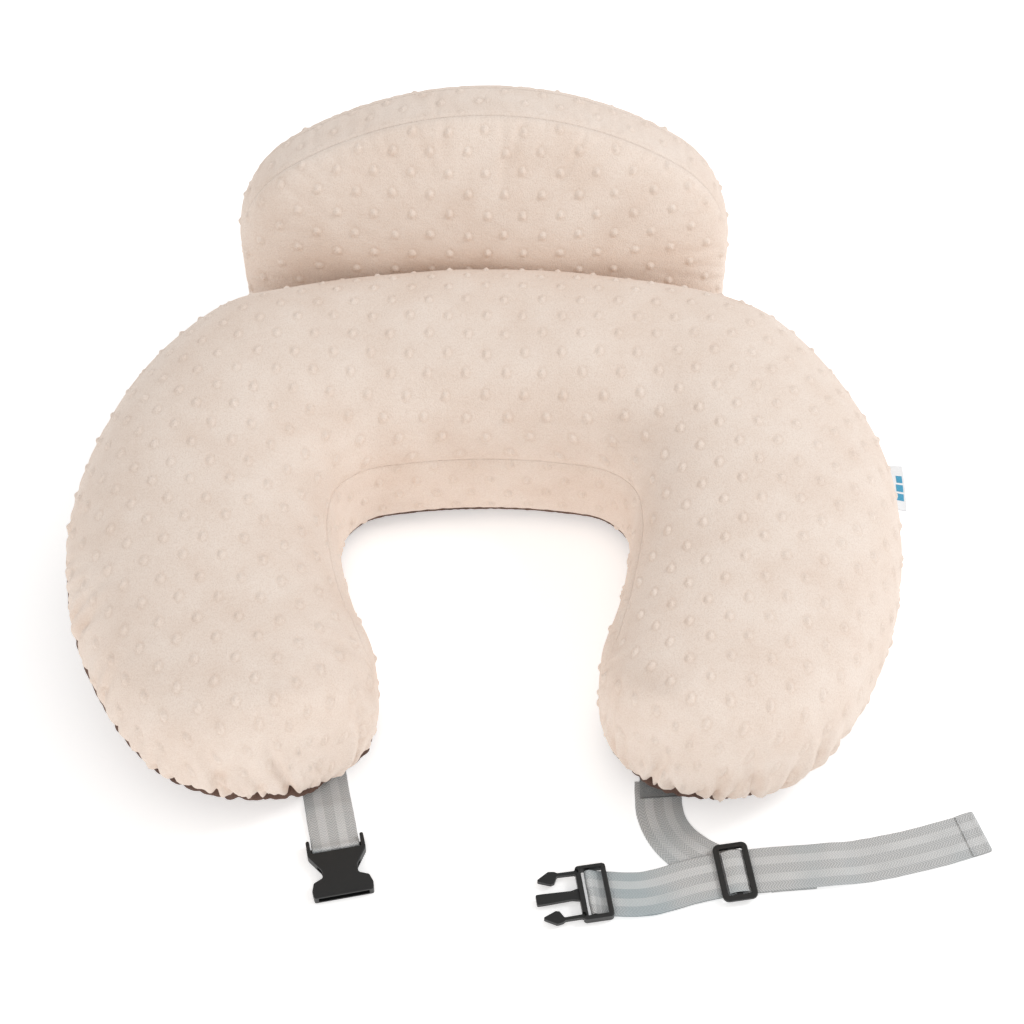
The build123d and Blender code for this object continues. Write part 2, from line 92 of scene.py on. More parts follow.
# Support pillow: outline from the top middle, (radius, clockwise turn) or (length, 0)
SUPPORT_TOP = 263.0
SUPPORT_ARCS = [(296.5, 33.77), (95.0, 56.23), (74.0, 0.0), (65.0, 90.0), (142.0, 0.0)]
SUPPORT_CENTRE = 125.0
SUPPORT_THICKNESS = 80.0
SUPPORT_SEAMS = (17.0, 62.0)
SUPPORT_LEAN = radians(15.0)
SUPPORT_Y = 68.0
# The support pillow keeps outside these radii of the rear wall, and of the zip lower down on it
SUPPORT_CLEAR_RADIUS = BACK_RADIUS + 7.0
ZIP_CLEAR_RADIUS = BACK_RADIUS + 15.5
SUPPORT_RING = 820
SUPPORT_ZIP_RISE = 48.0
SUPPORT_ZIP_Z = SUPPORT_ZIP_RISE * cos(SUPPORT_LEAN) - SUPPORT_THICKNESS * sin(SUPPORT_LEAN)
REAR_HALF_WIDTH = 91.5

# Hook-and-loop patches on the rear wall
PATCH_Z = 69.0
PATCH_SIZE = (158.0, 37.0)

# Raised dots: staggered rows, in the fabric's own coordinates
DOT_PITCH = 31.5
DOT_ROW = 18.2
DOT_HALF = (2.9, 3.8)
DOT_HEIGHT = 1.9

# Belt
WEB = 38.0
WEB_T = 1.3
LAYER_PITCH = 1.6
RUN_HEADING = 9.0
GLIDE_POINT = (198.0, -433.0)
BAR_FROM_GLIDE = 115.0
TAIL_STRAIGHT = 88.0
TAIL_RADIUS = 600.0
TAIL_END = TAIL_STRAIGHT + TAIL_RADIUS * radians(11.0)
SHORT_HEADING = -78.7
FEMALE_BAR = (-118.0, -410.4, 3.5)
# Heights of the middles of the run's three layers of webbing
FLOOR_Z = WEB_T / 2
LOWER_Z = FLOOR_Z + LAYER_PITCH
UPPER_Z = LOWER_Z + LAYER_PITCH

# Side label: its middle on the seam, how far it goes in behind the seam and out of it, and half
# the thickness of its fold
LABEL_CENTRE = (346.0, -80.0)
LABEL_Z = 34.0
LABEL_ROOT = 24.0
LABEL_REACH = 15.0
LABEL_HALF = 0.45


# ---- small maths ----

def smooth(low, high, x):
    """0 below low, 1 above high, and a smooth rise between."""
    t = np.clip((x - low) / (high - low), 0, 1)
    return t * t * (3 - 2 * t)


def noise(x, y, scale, seed):
    """Smooth value noise of about -1 to 1 over the plane, with lumps of the given size."""
    grid = np.random.default_rng(seed).uniform(-1, 1, (64, 64))
    u, v = np.asarray(x) / scale, np.asarray(y) / scale
    i, j = np.floor(u).astype(int), np.floor(v).astype(int)
    fu, fv = smooth(0, 1, u - i), smooth(0, 1, v - j)
    near = grid[i % 64, j % 64] * (1 - fu) + grid[(i + 1) % 64, j % 64] * fu
    far = grid[i % 64, (j + 1) % 64] * (1 - fu) + grid[(i + 1) % 64, (j + 1) % 64] * fu
    return near * (1 - fv) + far * fv


def walk(start, heading, arcs, step=0.5):
    """Points and headings along tangent arcs; a turn of 0 makes its first number a length."""
    x, y = start
    points, headings = [np.array([[x, y]])], [np.array([heading])]
    for radius, turn in arcs:
        side = np.sign(turn)
        length = radius * abs(radians(turn)) if turn else radius
        t = np.linspace(0, 1, max(2, ceil(length / step)))[1:]
        a, b = radians(heading), np.radians(heading - turn * t)
        if turn:
            px = x + side * radius * (np.sin(a) - np.sin(b))
            py = y - side * radius * (np.cos(a) - np.cos(b))
        else:
            px, py = x + length * t * cos(a), y + length * t * sin(a)
        heading -= turn
        points.append(np.stack([px, py], 1))
        headings.append(np.degrees(b) if turn else np.full(len(t), heading))
        x, y = px[-1], py[-1]
    return np.concatenate(points), np.concatenate(headings)


def lengths(points):
    """Distance along a row of points."""
    return np.concatenate([[0], np.cumsum(np.linalg.norm(np.diff(points, axis=0), axis=1))])


def pick(points, distance, at):
    """The points at given distances, by straight lines between."""
    return np.stack([np.interp(at, distance, column) for column in points.T], 1)


def mirror(points):
    """The points on the other side of the middle plane."""
    return points * np.array([-1.0] + [1.0] * (points.shape[1] - 1))


# ---- meshes ----

def make_mesh(name, points, faces, fabric=None):
    """An object from points in mm, a list of face arrays, and the fabric coordinates of each point.

    A third fabric coordinate, where there is one, says how far up a raised dot the point is.
    """
    corners = np.concatenate([f.reshape(-1) for f in faces]).astype(np.int32)
    sizes = np.concatenate([np.full(len(f), f.shape[1]) for f in faces]).astype(np.int32)
    used, corners = np.unique(corners, return_inverse=True)
    points = np.asarray(points, float)[used]
    mesh = bpy.data.meshes.new(name)
    mesh.vertices.add(len(points))
    mesh.vertices.foreach_set("co", (points * METRE).astype(np.float32).ravel())
    mesh.loops.add(len(corners))
    mesh.loops.foreach_set("vertex_index", corners.astype(np.int32).ravel())
    mesh.polygons.add(len(sizes))
    mesh.polygons.foreach_set("loop_start", np.concatenate([[0], np.cumsum(sizes)[:-1]]).astype(np.int32))
    mesh.update(calc_edges=True)
    mesh.shade_smooth()
    if fabric is not None:
        flat = np.zeros((len(used), 3), np.float32)
        flat[:, : fabric.shape[1]] = fabric[used]
        flat[:, :2] *= METRE
        layer = mesh.attributes.new("fabric", "FLOAT_VECTOR", "POINT")
        layer.data.foreach_set("vector", flat.ravel())
    thing = bpy.data.objects.new(name, mesh)
    bpy.context.scene.collection.objects.link(thing)
    return thing


def grid_ids(points):
    """Point numbers of a grid of points, row by row."""
    return np.arange(points.shape[0] * points.shape[1]).reshape(points.shape[:2])


def grid_faces(ids, closed=False):
    """Quads of a grid of point numbers; closed joins its last row to its first."""
    after = np.roll(ids, -1, axis=0) if closed else ids[1:]
    before = ids if closed else ids[:-1]
    return np.stack([before[:, :-1], after[:, :-1], after[:, 1:], before[:, 1:]], -1).reshape(-1, 4)


def split_degenerate(quads):
    """Quads, and triangles for those whose first two or last two corners are one point."""
    first = quads[:, 0] == quads[:, 1]
    last = quads[:, 2] == quads[:, 3]
    return [
        quads[~first & ~last],
        quads[first & ~last][:, [1, 2, 3]],
        quads[last & ~first][:, [0, 1, 2]],
    ]


def point_normals(points, quads):
    """Unit normals at the points of a mesh of quads."""
    p = points[quads]
    flat = np.cross(p[:, 2] - p[:, 0], p[:, 3] - p[:, 1])
    total = np.zeros_like(points)
    for corner in range(4):
        for axis in range(3):
            total[:, axis] += np.bincount(quads[:, corner], flat[:, axis], len(points))
    size = np.linalg.norm(total, axis=1, keepdims=True)
    return total / np.maximum(size, 1e-9)


def grid_normals(points, quads, ids):
    """Unit normals of a grid whose points may be shared, as a grid."""
    return point_normals(points.reshape(-1, 3), quads)[ids].reshape(points.shape)


def rim_faces(quads, count):
    """Quads that close the open edges between a surface and its copy, count points further on."""
    edges = np.concatenate([quads[:, [i, (i + 1) % 4]] for i in range(4)])
    edges = edges[edges[:, 0] != edges[:, 1]]
    keys = np.sort(edges, 1) @ np.array([count, 1])
    _, first, seen = np.unique(keys, return_index=True, return_counts=True)
    start, stop = edges[first[seen == 1]].T
    return np.stack([stop, start, start + count, stop + count], 1)


def doubled(name, outer, inner, quads, fabric, rim=()):
    """A piece of two layers with the same quads, facing away from each other."""
    faces = split_degenerate(quads) + split_degenerate(quads[:, ::-1] + len(outer))
    return make_mesh(name, np.concatenate([outer, inner]), [*faces, *rim], np.concatenate([fabric, fabric]))


def thin_shell(name, points, quads, thickness, fabric):
    """A closed thin piece: the surface, a copy of it further in, and the rim between."""
    points, fabric = points.reshape(-1, 3), fabric.reshape(-1, fabric.shape[-1])
    inner = points - point_normals(points, quads) * thickness
    inner[:, 2] = np.maximum(inner[:, 2], 0)
    return doubled(name, points, inner, quads, fabric, [rim_faces(quads, len(points))])


def closed_bag(name, points, normals, quads, fabric, thickness, lowest=0.0):
    """A closed surface: a hollow bag if it has a thickness, or else a solid filling."""
    if thickness is None:
        return make_mesh(name, points, split_degenerate(quads), fabric)
    inner = points - normals * thickness
    inner[:, 2] = np.maximum(inner[:, 2], lowest)
    return doubled(name, points, inner, quads, fabric)


# ---- what the plush does ----

def dots(fabric, seed):
    """Height of the raised dots at points given in the fabric's own coordinates."""
    u, v = fabric[..., 0], fabric[..., 1]
    row = np.round(v / DOT_ROW)
    shift = (row % 2) * 0.5
    column = np.round(u / DOT_PITCH - shift)
    jitter_u = noise(column * 7.3, row * 5.1, 1.7, seed) * 1.3
    jitter_v = noise(column * 3.7, row * 9.1, 1.3, seed + 1) * 1.3
    tall = 1 + 0.25 * noise(column * 5.9, row * 2.3, 1.9, seed + 2)
    du = (u - (column + shift) * DOT_PITCH - jitter_u) / DOT_HALF[0]
    dv = (v - row * DOT_ROW - jitter_v) / DOT_HALF[1]
    away = du * du + dv * dv
    dome = DOT_HEIGHT * tall * np.clip(1 - away, 0, 1) ** 1.1
    ring = np.exp(-(((away**0.5) - 1.3) / 0.35) ** 2)
    return dome - 0.25 * ring


def with_dots(flat, height):
    """Fabric coordinates with the height of the dots, as a share, which the material uses to paint shade in
    the hollow round each dot.
    """
    return np.dstack([flat, height / DOT_HEIGHT])


def lumps(points, seed, height=1.3):
    """The slow unevenness of a fibre filling, and small ripples of the plush over it."""
    x, y, z = points[..., 0], points[..., 1], points[..., 2]
    slow = noise(x + z, y - z, 62, seed) * height
    quick = noise(x - 0.7 * z, y + 0.7 * z, 24, seed + 1) * 0.35
    return slow + quick + noise(x + z, y + z, 9, seed + 2) * 0.12


def puckers(along, up, strength, total, seed):
    """Folds that run away from a gathered seam. along is measured on the seam and up away from it."""
    random = np.random.default_rng(seed)
    depth = np.zeros_like(up)
    place = 0.0
    while place < total:
        place += random.uniform(8, 21)
        deep, reach = random.uniform(0.25, 1.0) ** 1.3, random.uniform(26, 70)
        lean, narrow = random.uniform(-0.35, 0.35), random.uniform(1.9, 3.3)
        row = int(np.argmin(np.abs(along[:, 0] - place)))
        if strength[row] < 0.02 or place > total - 20:
            continue
        rows = np.abs(along[:, 0] - place) < 60
        off = along[rows] - place - lean * up[rows]
        wide = narrow + 0.045 * up[rows]
        sides = np.exp(-(((np.abs(off) - 2.1 * wide) / (1.1 * wide)) ** 2))
        fold = np.exp(-((off / wide) ** 2)) - 0.45 * sides
        fade = np.exp(-((up[rows] / reach) ** 2)) * (0.7 + 0.3 * smooth(0, 14, up[rows]))
        depth[rows] += strength[row] * deep * fold * fade
    return DEEPEST_FOLD * np.tanh(depth / DEEPEST_FOLD)


# ---- main pillow ----

def ring_plan(n):
    """The plan of the U: a closed ring of 4n boundary points, each with its point on the spine.

    The ring runs from the middle of the back round the right arm and the hole, then the left arm.
    Returns boundary, spine, distance along the boundary, share of the way to the tip, and the
    distance from the tip along the hole side (0 on the outside).
    """
    outer, _ = walk((0, BACK_Y), 0, TO_TIP)
    heading = -sum(turn for _, turn in TO_TIP)
    inner, _ = walk(tuple(outer[-1]), heading, TO_HOLE)
    inner = inner[::-1]
    share = np.arange(n + 1) / n
    outer_length, inner_length = lengths(outer), lengths(inner)
    out = pick(outer, outer_length, share * outer_length[-1])
    hole = pick(inner, inner_length, share * inner_length[-1])
    hole[0, 0] = out[0, 0] = 0
    middle = (out + hole) / 2
    straight, last = 0.68, 0.885
    late = np.clip((share - straight) / (1 - straight), 0, 1)
    power = (1 - straight) / (last - straight)
    reach = np.where(share < straight, share, straight + (last - straight) * (1 - (1 - late) ** power))
    spine = pick(middle, share, reach)
    right = [out[:n], hole[n:0:-1]]
    left = [mirror(hole[:n]), mirror(out[n:0:-1])]
    boundary = np.concatenate(right + left)
    spines = np.concatenate([spine[:n], spine[n:0:-1], mirror(spine[:n]), mirror(spine[n:0:-1])])
    shares = np.concatenate([share[:n], share[n:0:-1], share[:n], share[n:0:-1]])
    from_tip = inner_length[-1] * (1 - share)
    zero = np.zeros(n)
    hole_side = np.concatenate([zero, from_tip[n:0:-1], from_tip[:n], zero])
    return boundary, spines, lengths(np.concatenate([boundary, boundary[:1]])), shares, hole_side


def spine_ids(n, columns):
    """Point numbers of the ring's grid, with both sides of the U sharing the points on its spine."""
    ids = np.arange(4 * n * columns).reshape(4 * n, columns)
    right = ids[:n, 0].tolist() + [ids[n, 0]]
    left = [ids[0, 0]] + ids[2 * n + 1 : 3 * n, 0].tolist() + [ids[3 * n, 0]]
    shared = right[:n] + right[n:0:-1] + left[:n] + left[n:0:-1]
    ids[:, 0] = shared
    return ids


def main_section(n):
    """For each ring point, a dense outline of the section: share of the half width, and height."""
    boundary, spines, along, shares, hole_side = ring_plan(n)
    taper = smooth(*GUSSET_TAPER, hole_side)
    crest = CREST_Z - TIP_CREST_DROP * smooth(0.3, 1.0, shares)
    equator = OUTER_EQUATOR_Z + (HOLE_EQUATOR_Z - OUTER_EQUATOR_Z) * taper
    left = boundary[:, 0] < 0
    left_outside = left * (hole_side == 0)
    twisted = smooth(0.42, 0.6, shares) * (1 - smooth(0.62, 0.98, shares)) * left_outside
    left_tip = smooth(-165, -120, boundary[:, 0]) * left * smooth(0.86, 0.97, shares)
    seam = BACK_SEAM_Z + (ARM_SEAM_Z - BACK_SEAM_Z) * smooth(0.3, 0.7, shares)
    seam = seam + COVER_TWIST * twisted - LEFT_TIP_DROP * left_tip
    gusset_top = GUSSET_TOP_Z + GUSSET_RISE * smooth(0.22, 0.5, shares)
    arm = smooth(0.25, 0.5, shares)
    return {
        "boundary": boundary,
        "spine": spines,
        "along": along[:-1],
        "total": along[-1],
        "shares": shares,
        "taper": taper,
        "left_outside": left_outside,
        "crest": crest,
        "equator": equator,
        "top_power": TOP_POWER - 0.2 * arm,
        "low_power": 8.0 - (5.3 + 0.4 * arm) * arm * (1 - taper),
        "back": (1 - smooth(0.215, 0.25, shares)) * (hole_side == 0),
        "top_seam": seam + (gusset_top - seam) * taper,
        "low_seam": seam + (GUSSET_LOW_Z - seam) * taper,
    }


def profile(plan, half_width, dense=160):
    """Dense section lines from the spine's top to its underside, as (out, up), per ring point."""
    t = np.linspace(0, 1, dense) * np.pi / 2
    crest, equator = plan["crest"][:, None], plan["equator"][:, None]
    high, low = plan["top_power"][:, None], plan["low_power"][:, None]
    out = np.sin(t) ** (2 / high)
    up = equator + (crest - equator) * np.clip(np.cos(t), 0, 1) ** (2 / high)
    low_out = np.clip(np.cos(t), 0, 1) ** (2 / low)
    low_up = equator * (1 - np.sin(t) ** (2 / low))
    low_up = np.where(low_up < 3.0, np.maximum(low_up - (3.0 - low_up) * 0.8, 0), low_up)
    out = np.concatenate([out, low_out[:, 1:]], 1) * half_width[:, None]
    return out, np.concatenate([up, low_up[:, 1:]], 1)


def section_distance(out, up):
    """Distance along each section line."""
    steps = np.hypot(np.diff(out, axis=1), np.diff(up, axis=1))
    return np.concatenate([np.zeros((len(out), 1)), np.cumsum(steps, 1)], 1)


def cut_section(out, up, distance, start, stop, columns):
    """Even points along each section line between two distances."""
    at = start[:, None] + (stop - start)[:, None] * np.linspace(0, 1, columns)
    rows = range(len(out))
    x = np.array([np.interp(at[i], distance[i], out[i]) for i in rows])
    z = np.array([np.interp(at[i], distance[i], up[i]) for i in rows])
    return x, z, at


def main_surface(n, columns, tuck=0.0):
    """Grids of parts of the main cover, before relief, with the columns given for each part.

    The parts are top, gusset and low. The low part starts the tuck above its seam.
    """
    plan = main_section(n)
    span = plan["boundary"] - plan["spine"]
    half = np.linalg.norm(span, axis=1)
    direction = span / half[:, None]
    out, up = profile(plan, half)
    distance = section_distance(out, up)

    def at_height(height):
        return np.array([np.interp(-height[i], -up[i], distance[i]) for i in range(len(up))])

    top_seam, low_seam = at_height(plan["top_seam"]), at_height(plan["low_seam"])
    zero, end = np.zeros(len(up)), distance[:, -1]
    spread = 1 - 0.35 * smooth(0.5, 0.85, plan["shares"])[:, None]
    spans = {"top": (zero, top_seam), "gusset": (top_seam, low_seam), "low": (low_seam - tuck, end)}
    parts = {}
    for name, count in columns.items():
        start, stop = spans[name]
        x, z, at = cut_section(out, up, distance, start, stop, count)
        plane = plan["spine"][:, None, :] + direction[:, None, :] * x[..., None]
        flat = plan["spine"][:, None, :] + direction[:, None, :] * (x + (at - x) * spread)[..., None]
        parts[name] = {
            "points": np.dstack([plane, z]),
            "flat": flat,
            "along": plan["along"][:, None] + 0 * at,
            "from_start": at - start[:, None],
            "from_stop": stop[:, None] - at,
            "at": at,
        }
    return plan, parts


def gather_strength(plan):
    """How tightly the outer seam is gathered: most round the ends of the arms."""
    ends = smooth(0.4, 0.85, plan["shares"])
    return (0.6 + 5.8 * ends) * (1 - smooth(0.5, 1.0, plan["taper"])) * (1 - plan["back"])


def seam_pinch(distance, depth=1.5, width=3.6):
    """How far the plush dips in towards a seam."""
    return depth * np.exp(-((distance / width) ** 2))


def scallop(folds, from_seam):
    """How far the seam line rises where a fold meets it."""
    return (folds * 0.8 - 1.0) * np.exp(-((from_seam / 9) ** 2))


def nudged(plan_points):
    """The plan with this pillow's small unevenness: each nudge fades out round its place."""
    moved = plan_points.copy()
    for x, y, reach, dx, dy in NUDGES:
        away = ((plan_points[..., 0] - x) ** 2 + (plan_points[..., 1] - y) ** 2) / reach**2
        moved += np.exp(-away)[..., None] * np.array([dx, dy])
    return moved


def main_top_panel():
    plan, parts = main_surface(STATIONS, {"top": 140})
    points, flat, from_seam = (parts["top"][key] for key in ("points", "flat", "from_stop"))
    ids = spine_ids(STATIONS, points.shape[1])
    quads = grid_faces(ids, True)
    normals = grid_normals(points, quads, ids)
    strength = gather_strength(plan)
    folds = puckers(parts["top"]["along"], from_seam, strength, plan["total"], COVER_FOLDS)
    taper = plan["taper"][:, None]
    bare = 1 - plan["back"][:, None] * (1 - smooth(134, 146, points[..., 2]))
    raised = dots(flat, 5) * smooth(1.5, 6, from_seam) * bare
    relief = lumps(points, 3) * smooth(0, 25, from_seam) * bare + raised
    swell = 0.5 * strength[:, None] * np.exp(-(((from_seam - 20) / 16) ** 2))
    relief += swell - folds - seam_pinch(from_seam) * bare
    points = points + normals * relief[..., None]
    points[..., 2] += scallop(folds, from_seam) * (1 - taper) * bare
    points[..., :2] = nudged(points[..., :2])
    return thin_shell("main_top_panel_visual", points, quads, PLUSH, with_dots(flat, raised))


def main_bottom_panel():
    plan, parts = main_surface(STATIONS, {"low": 60}, TUCK)
    points, along = (parts["low"][key][:, ::-1] for key in ("points", "along"))
    from_seam = parts["low"]["from_start"][:, ::-1] - TUCK
    ids = spine_ids(STATIONS, points.shape[1])
    quads = grid_faces(ids, True)[:, ::-1]
    normals = grid_normals(points, quads, ids)
    taper = plan["taper"][:, None]
    bare = 1 - plan["back"][:, None]
    folds = puckers(along, from_seam, gather_strength(plan), plan["total"], COVER_FOLDS)
    nap = noise(points[..., 0], points[..., 1], 3.5, 8) * 0.35 * smooth(2, 8, points[..., 2])
    relief = nap - folds * (1 - 0.75 * smooth(1, 7, from_seam))
    relief -= (seam_pinch(from_seam) * (1 - taper) - 0.3 * taper) * bare
    twisted = 2.0 * smooth(0.45, 0.6, plan["shares"]) * plan["left_outside"]
    slack = np.maximum(smooth(0.72, 0.95, plan["shares"]), twisted)
    relief += 1.4 * slack[:, None] * (1 - taper) * np.exp(-(((from_seam - 9) / 8) ** 2))
    relief -= 2.1 * smooth(0, 0.8 * TUCK, -from_seam)
    points = points + normals * (relief * smooth(0.5, 5, points[..., 2]))[..., None]
    points[..., 2] += scallop(folds, from_seam) * (1 - taper) * bare
    points[..., :2] = nudged(points[..., :2])
    points[..., 2] = np.maximum(points[..., 2], 0)
    return thin_shell("main_bottom_panel_visual", points, quads, PLUSH, points[..., :2])


def main_inner_gusset():
    plan, parts = main_surface(STATIONS, {"gusset": 50})
    rows = plan["taper"] > 0.004
    keys = ("points", "at", "along", "from_start", "from_stop")
    points, at, along, from_top, from_low = (parts["gusset"][key][rows] for key in keys)
    ids = grid_ids(points)
    quads = grid_faces(ids)
    normals = grid_normals(points, quads, ids)
    flat = np.stack([along, at], -1)
    near = np.minimum(from_top, from_low)
    folds = puckers(along, from_low, 0.9 + 0 * along[:, 0], plan["total"], 23)
    raised = dots(flat, 15) * smooth(1.5, 6, near)
    relief = lumps(points, 6, 0.8) * smooth(0, 20, near) + raised
    relief += 2.0 * smooth(0, 30, near)
    relief -= seam_pinch(from_top) + seam_pinch(from_low, 0.8) + 0.5 * folds
    points = points + normals * relief[..., None]
    points[..., :2] = nudged(points[..., :2])
    return thin_shell("main_inner_gusset_visual", points, quads, PLUSH, with_dots(flat, raised))


def main_inside(name, inset, thickness=None):
    """The liner bag inside the main cover, or the filling if there is no thickness."""
    n, top, gusset = STATIONS // 4, 40, 20
    plan, parts = main_surface(n, {"top": top, "gusset": gusset, "low": 26})
    joined = [parts["top"]["points"], parts["gusset"]["points"][:, 1:], parts["low"]["points"][:, 1:]]
    points = np.concatenate(joined, 1)
    ids = spine_ids(n, points.shape[1])
    last = spine_ids(n, 1)
    ids[:, -1] = ids[last[:, 0], -1]
    quads = grid_faces(ids, True)
    quads = quads[(quads[:, 0] != quads[:, 1]) | (quads[:, 2] != quads[:, 3])]
    flat = points.reshape(-1, 3)
    normals = point_normals(flat, quads)
    facing = normals[ids]
    no_gusset = plan["taper"] < 0.05
    across_seam = facing[no_gusset, top - 2] + facing[no_gusset, top + gusset + 1]
    across_seam /= np.linalg.norm(across_seam, axis=1, keepdims=True)
    facing[no_gusset, top - 1 : top + gusset] = across_seam[:, None]
    normals[ids] = facing
    flat = flat - normals * (inset - 0.5 * lumps(flat, 31, 0.8))[:, None]
    flat[:, 2] = np.maximum(flat[:, 2], inset * 0.8)
    flat[:, :2] = nudged(flat[:, :2])
    return closed_bag(name, flat, normals, quads, flat[:, :2], thickness)


# ---- support pillow ----

def lean_back(across, deep, up):
    """Points of the support pillow in the row frame, from its upright frame."""
    y = SUPPORT_Y + deep * cos(SUPPORT_LEAN) + up * sin(SUPPORT_LEAN)
    z = up * cos(SUPPORT_LEAN) - deep * sin(SUPPORT_LEAN)
    x = across + 0 * y
    for place, level, reach, move in SUPPORT_NUDGES:
        x = x + move * np.exp(-((across - place) ** 2 + (z - level) ** 2) / reach**2)
    return np.stack([x, y, z], -1)


def clear_of_main(points, extra=0.0):
    """Points moved back off the main pillow's rear wall and its zip."""
    x, y, z = points[..., 0], points[..., 1], points[..., 2]
    radius = SUPPORT_CLEAR_RADIUS + (ZIP_CLEAR_RADIUS - SUPPORT_CLEAR_RADIUS) * (1 - smooth(46, 52, z))
    high = np.clip((z - OUTER_EQUATOR_Z) / (CREST_Z - OUTER_EQUATOR_Z), 0, 0.995)
    inward = REAR_HALF_WIDTH * (1 - (1 - high**TOP_POWER) ** (1 / TOP_POWER))
    radius = radius + extra - (inward + 5.6 * smooth(90, 112, z)) * smooth(88, 100, z)
    wall = BACK_Y - BACK_RADIUS + np.sqrt(np.maximum(radius**2 - x**2, 0))
    points = points.copy()
    points[..., 1] = np.maximum(y, wall)
    return points


def support_outline(count):
    """Points round the support pillow's outline, from the top middle, with the distance round."""
    half, _ = walk((0, SUPPORT_TOP), 0, SUPPORT_ARCS)
    distance = lengths(half)
    right = pick(half, distance, np.linspace(0, distance[-1], count // 2 + 1))
    ring = np.concatenate([right, mirror(right)[-2:0:-1]])
    return ring, np.linspace(0, 2 * distance[-1], count, endpoint=False)


def face_profile(reach, edge_depth, rounding, bulge):
    """A panel from its middle to its seam: distance out from the middle, and depth."""
    back = np.linspace(0, 1, 500) ** 0.7
    out = reach[:, None] * back
    left = (reach[:, None] - out) / rounding
    inside = np.clip(1 - left, 0, 1)
    depth = edge_depth * (1 - np.sqrt(np.maximum(1 - inside**2, 0)))
    return out, depth - bulge * (1 - np.exp(-((left * rounding / 62) ** 2)))


def support_part(part, ring, columns):
    """Grid points of a support pillow panel, its fabric coordinates, distance to and along its seam."""
    outline, along = support_outline(ring)
    centre = np.array([0, SUPPORT_CENTRE])
    span = outline - centre
    reach = np.linalg.norm(span, axis=1)
    direction = span / reach[:, None]
    front_seam, back_seam = SUPPORT_SEAMS
    if part == "gusset":
        t = np.linspace(0, 1, columns)
        deep = front_seam + (back_seam - front_seam) * t
        bulge = 1.5 * np.sin(np.pi * t) ** 0.8
        plane = outline[:, None, :] + direction[:, None, :] * bulge[:, None]
        flat = np.stack(np.broadcast_arrays(along[:, None], deep), -1)
        seam = (back_seam - front_seam) * np.minimum(t, 1 - t) + 0 * along[:, None]
        return lean_back(plane[..., 0], deep, plane[..., 1]), flat, seam, along
    front = part == "front"
    edge = front_seam if front else SUPPORT_THICKNESS - back_seam
    out, depth = face_profile(reach, edge, *((34.0, 5.0) if front else (36.0, 0.0)))
    distance = section_distance(out, depth)
    x, deep, at = cut_section(out, depth, distance, 0 * reach, distance[:, -1], columns)
    plane = centre + direction[:, None, :] * x[..., None]
    flat = centre + direction[:, None, :] * at[..., None]
    from_seam = distance[:, -1:] - at
    if front:
        level = np.exp(-(((plane[..., 1] - 150) / 55) ** 2))
        deep = deep - 15 * level * np.clip(1 - (plane[..., 0] / 200) ** 2, 0, 1) * smooth(0, 60, from_seam)
    deep = deep if front else SUPPORT_THICKNESS - deep
    return lean_back(plane[..., 0], deep, plane[..., 1]), flat, from_seam, along


def support_panel(part, seed):
    points, flat, from_seam, along = support_part(part, SUPPORT_RING, 34 if part == "gusset" else 146)
    ids = grid_ids(points)
    if part != "gusset":
        ids[:, 0] = ids[0, 0]
    quads = grid_faces(ids, True)
    if part == "back":
        quads = quads[:, ::-1]
    normals = grid_normals(points, quads, ids)
    strength = 0.7 + 0.9 * smooth(330, 520, np.minimum(along, along[-1] - along))
    folds = puckers(along[:, None] + 0 * from_seam, from_seam, strength, along[-1], seed)
    raised = dots(flat, seed + 3) * smooth(1.5, 6, from_seam)
    relief = lumps(points, seed, 1.4) * smooth(0, 20, from_seam) + raised
    relief -= folds * smooth(0, 5, from_seam)
    relief -= seam_pinch(from_seam, 1.1, 3.0)
    free = smooth(2, 14, points[..., 2])
    if part == "back":
        rise = np.abs(points[..., 2] - SUPPORT_ZIP_Z)
        free = free * (1 - (1 - smooth(9, 20, rise)) * (1 - smooth(154, 170, np.abs(points[..., 0]))))
    points = clear_of_main(points + normals * (relief * free)[..., None])
    points[..., 2] = np.maximum(points[..., 2], 1.5)
    return thin_shell(f"support_{part}_visual", points, quads, PLUSH, with_dots(flat, raised * free))


def support_inside(name, inset, thickness=None):
    """The liner bag inside the support cover, or the filling if there is no thickness."""
    ring = 200
    columns = {"front": 30, "gusset": 12, "back": 30}
    grids = {part: support_part(part, ring, count)[0] for part, count in columns.items()}
    across = [grids["front"], grids["gusset"][:, 1:], grids["back"][:, -2::-1]]
    points = np.concatenate(across, 1)
    ids = grid_ids(points)
    ids[:, 0] = ids[0, 0]
    ids[:, -1] = ids[0, -1]
    quads = grid_faces(ids, True)
    points = clear_of_main(points, inset)
    flat = points.reshape(-1, 3)
    low = flat[:, 2] < 1.5
    normals = point_normals(flat, quads)
    flat = flat - normals * (inset - 0.5 * lumps(flat, 41, 0.8))[:, None]
    flat[low, 2] = 0
    flat[:, 2] = np.maximum(flat[:, 2], 1.5 + inset)
    lowest = flat[:, 2].min() + (thickness or 0)
    return closed_bag(name, flat, normals, quads, flat[:, [0, 2]], thickness, lowest)


def support_base():
    """The flat panel the support pillow stands on."""
    rows, columns = 40, 160
    v, h = np.meshgrid(np.linspace(0, 1, rows), np.linspace(-1, 1, columns), indexing="ij")
    width = 168 + 18 * v**0.8 - 24 * smooth(0.74, 1.04, v)
    x = h * width
    front = BACK_Y - BACK_RADIUS + np.sqrt(ZIP_CLEAR_RADIUS**2 - x**2) + 1.0
    y = front + (149 - front) * v
    points = np.stack([x, y, 1.4 + 0 * x], -1)
    quads = grid_faces(grid_ids(points))[:, ::-1]
    return thin_shell("support_base_visual", points, quads, 1.3, points[..., :2])


# ---- zips and hook-and-loop ----

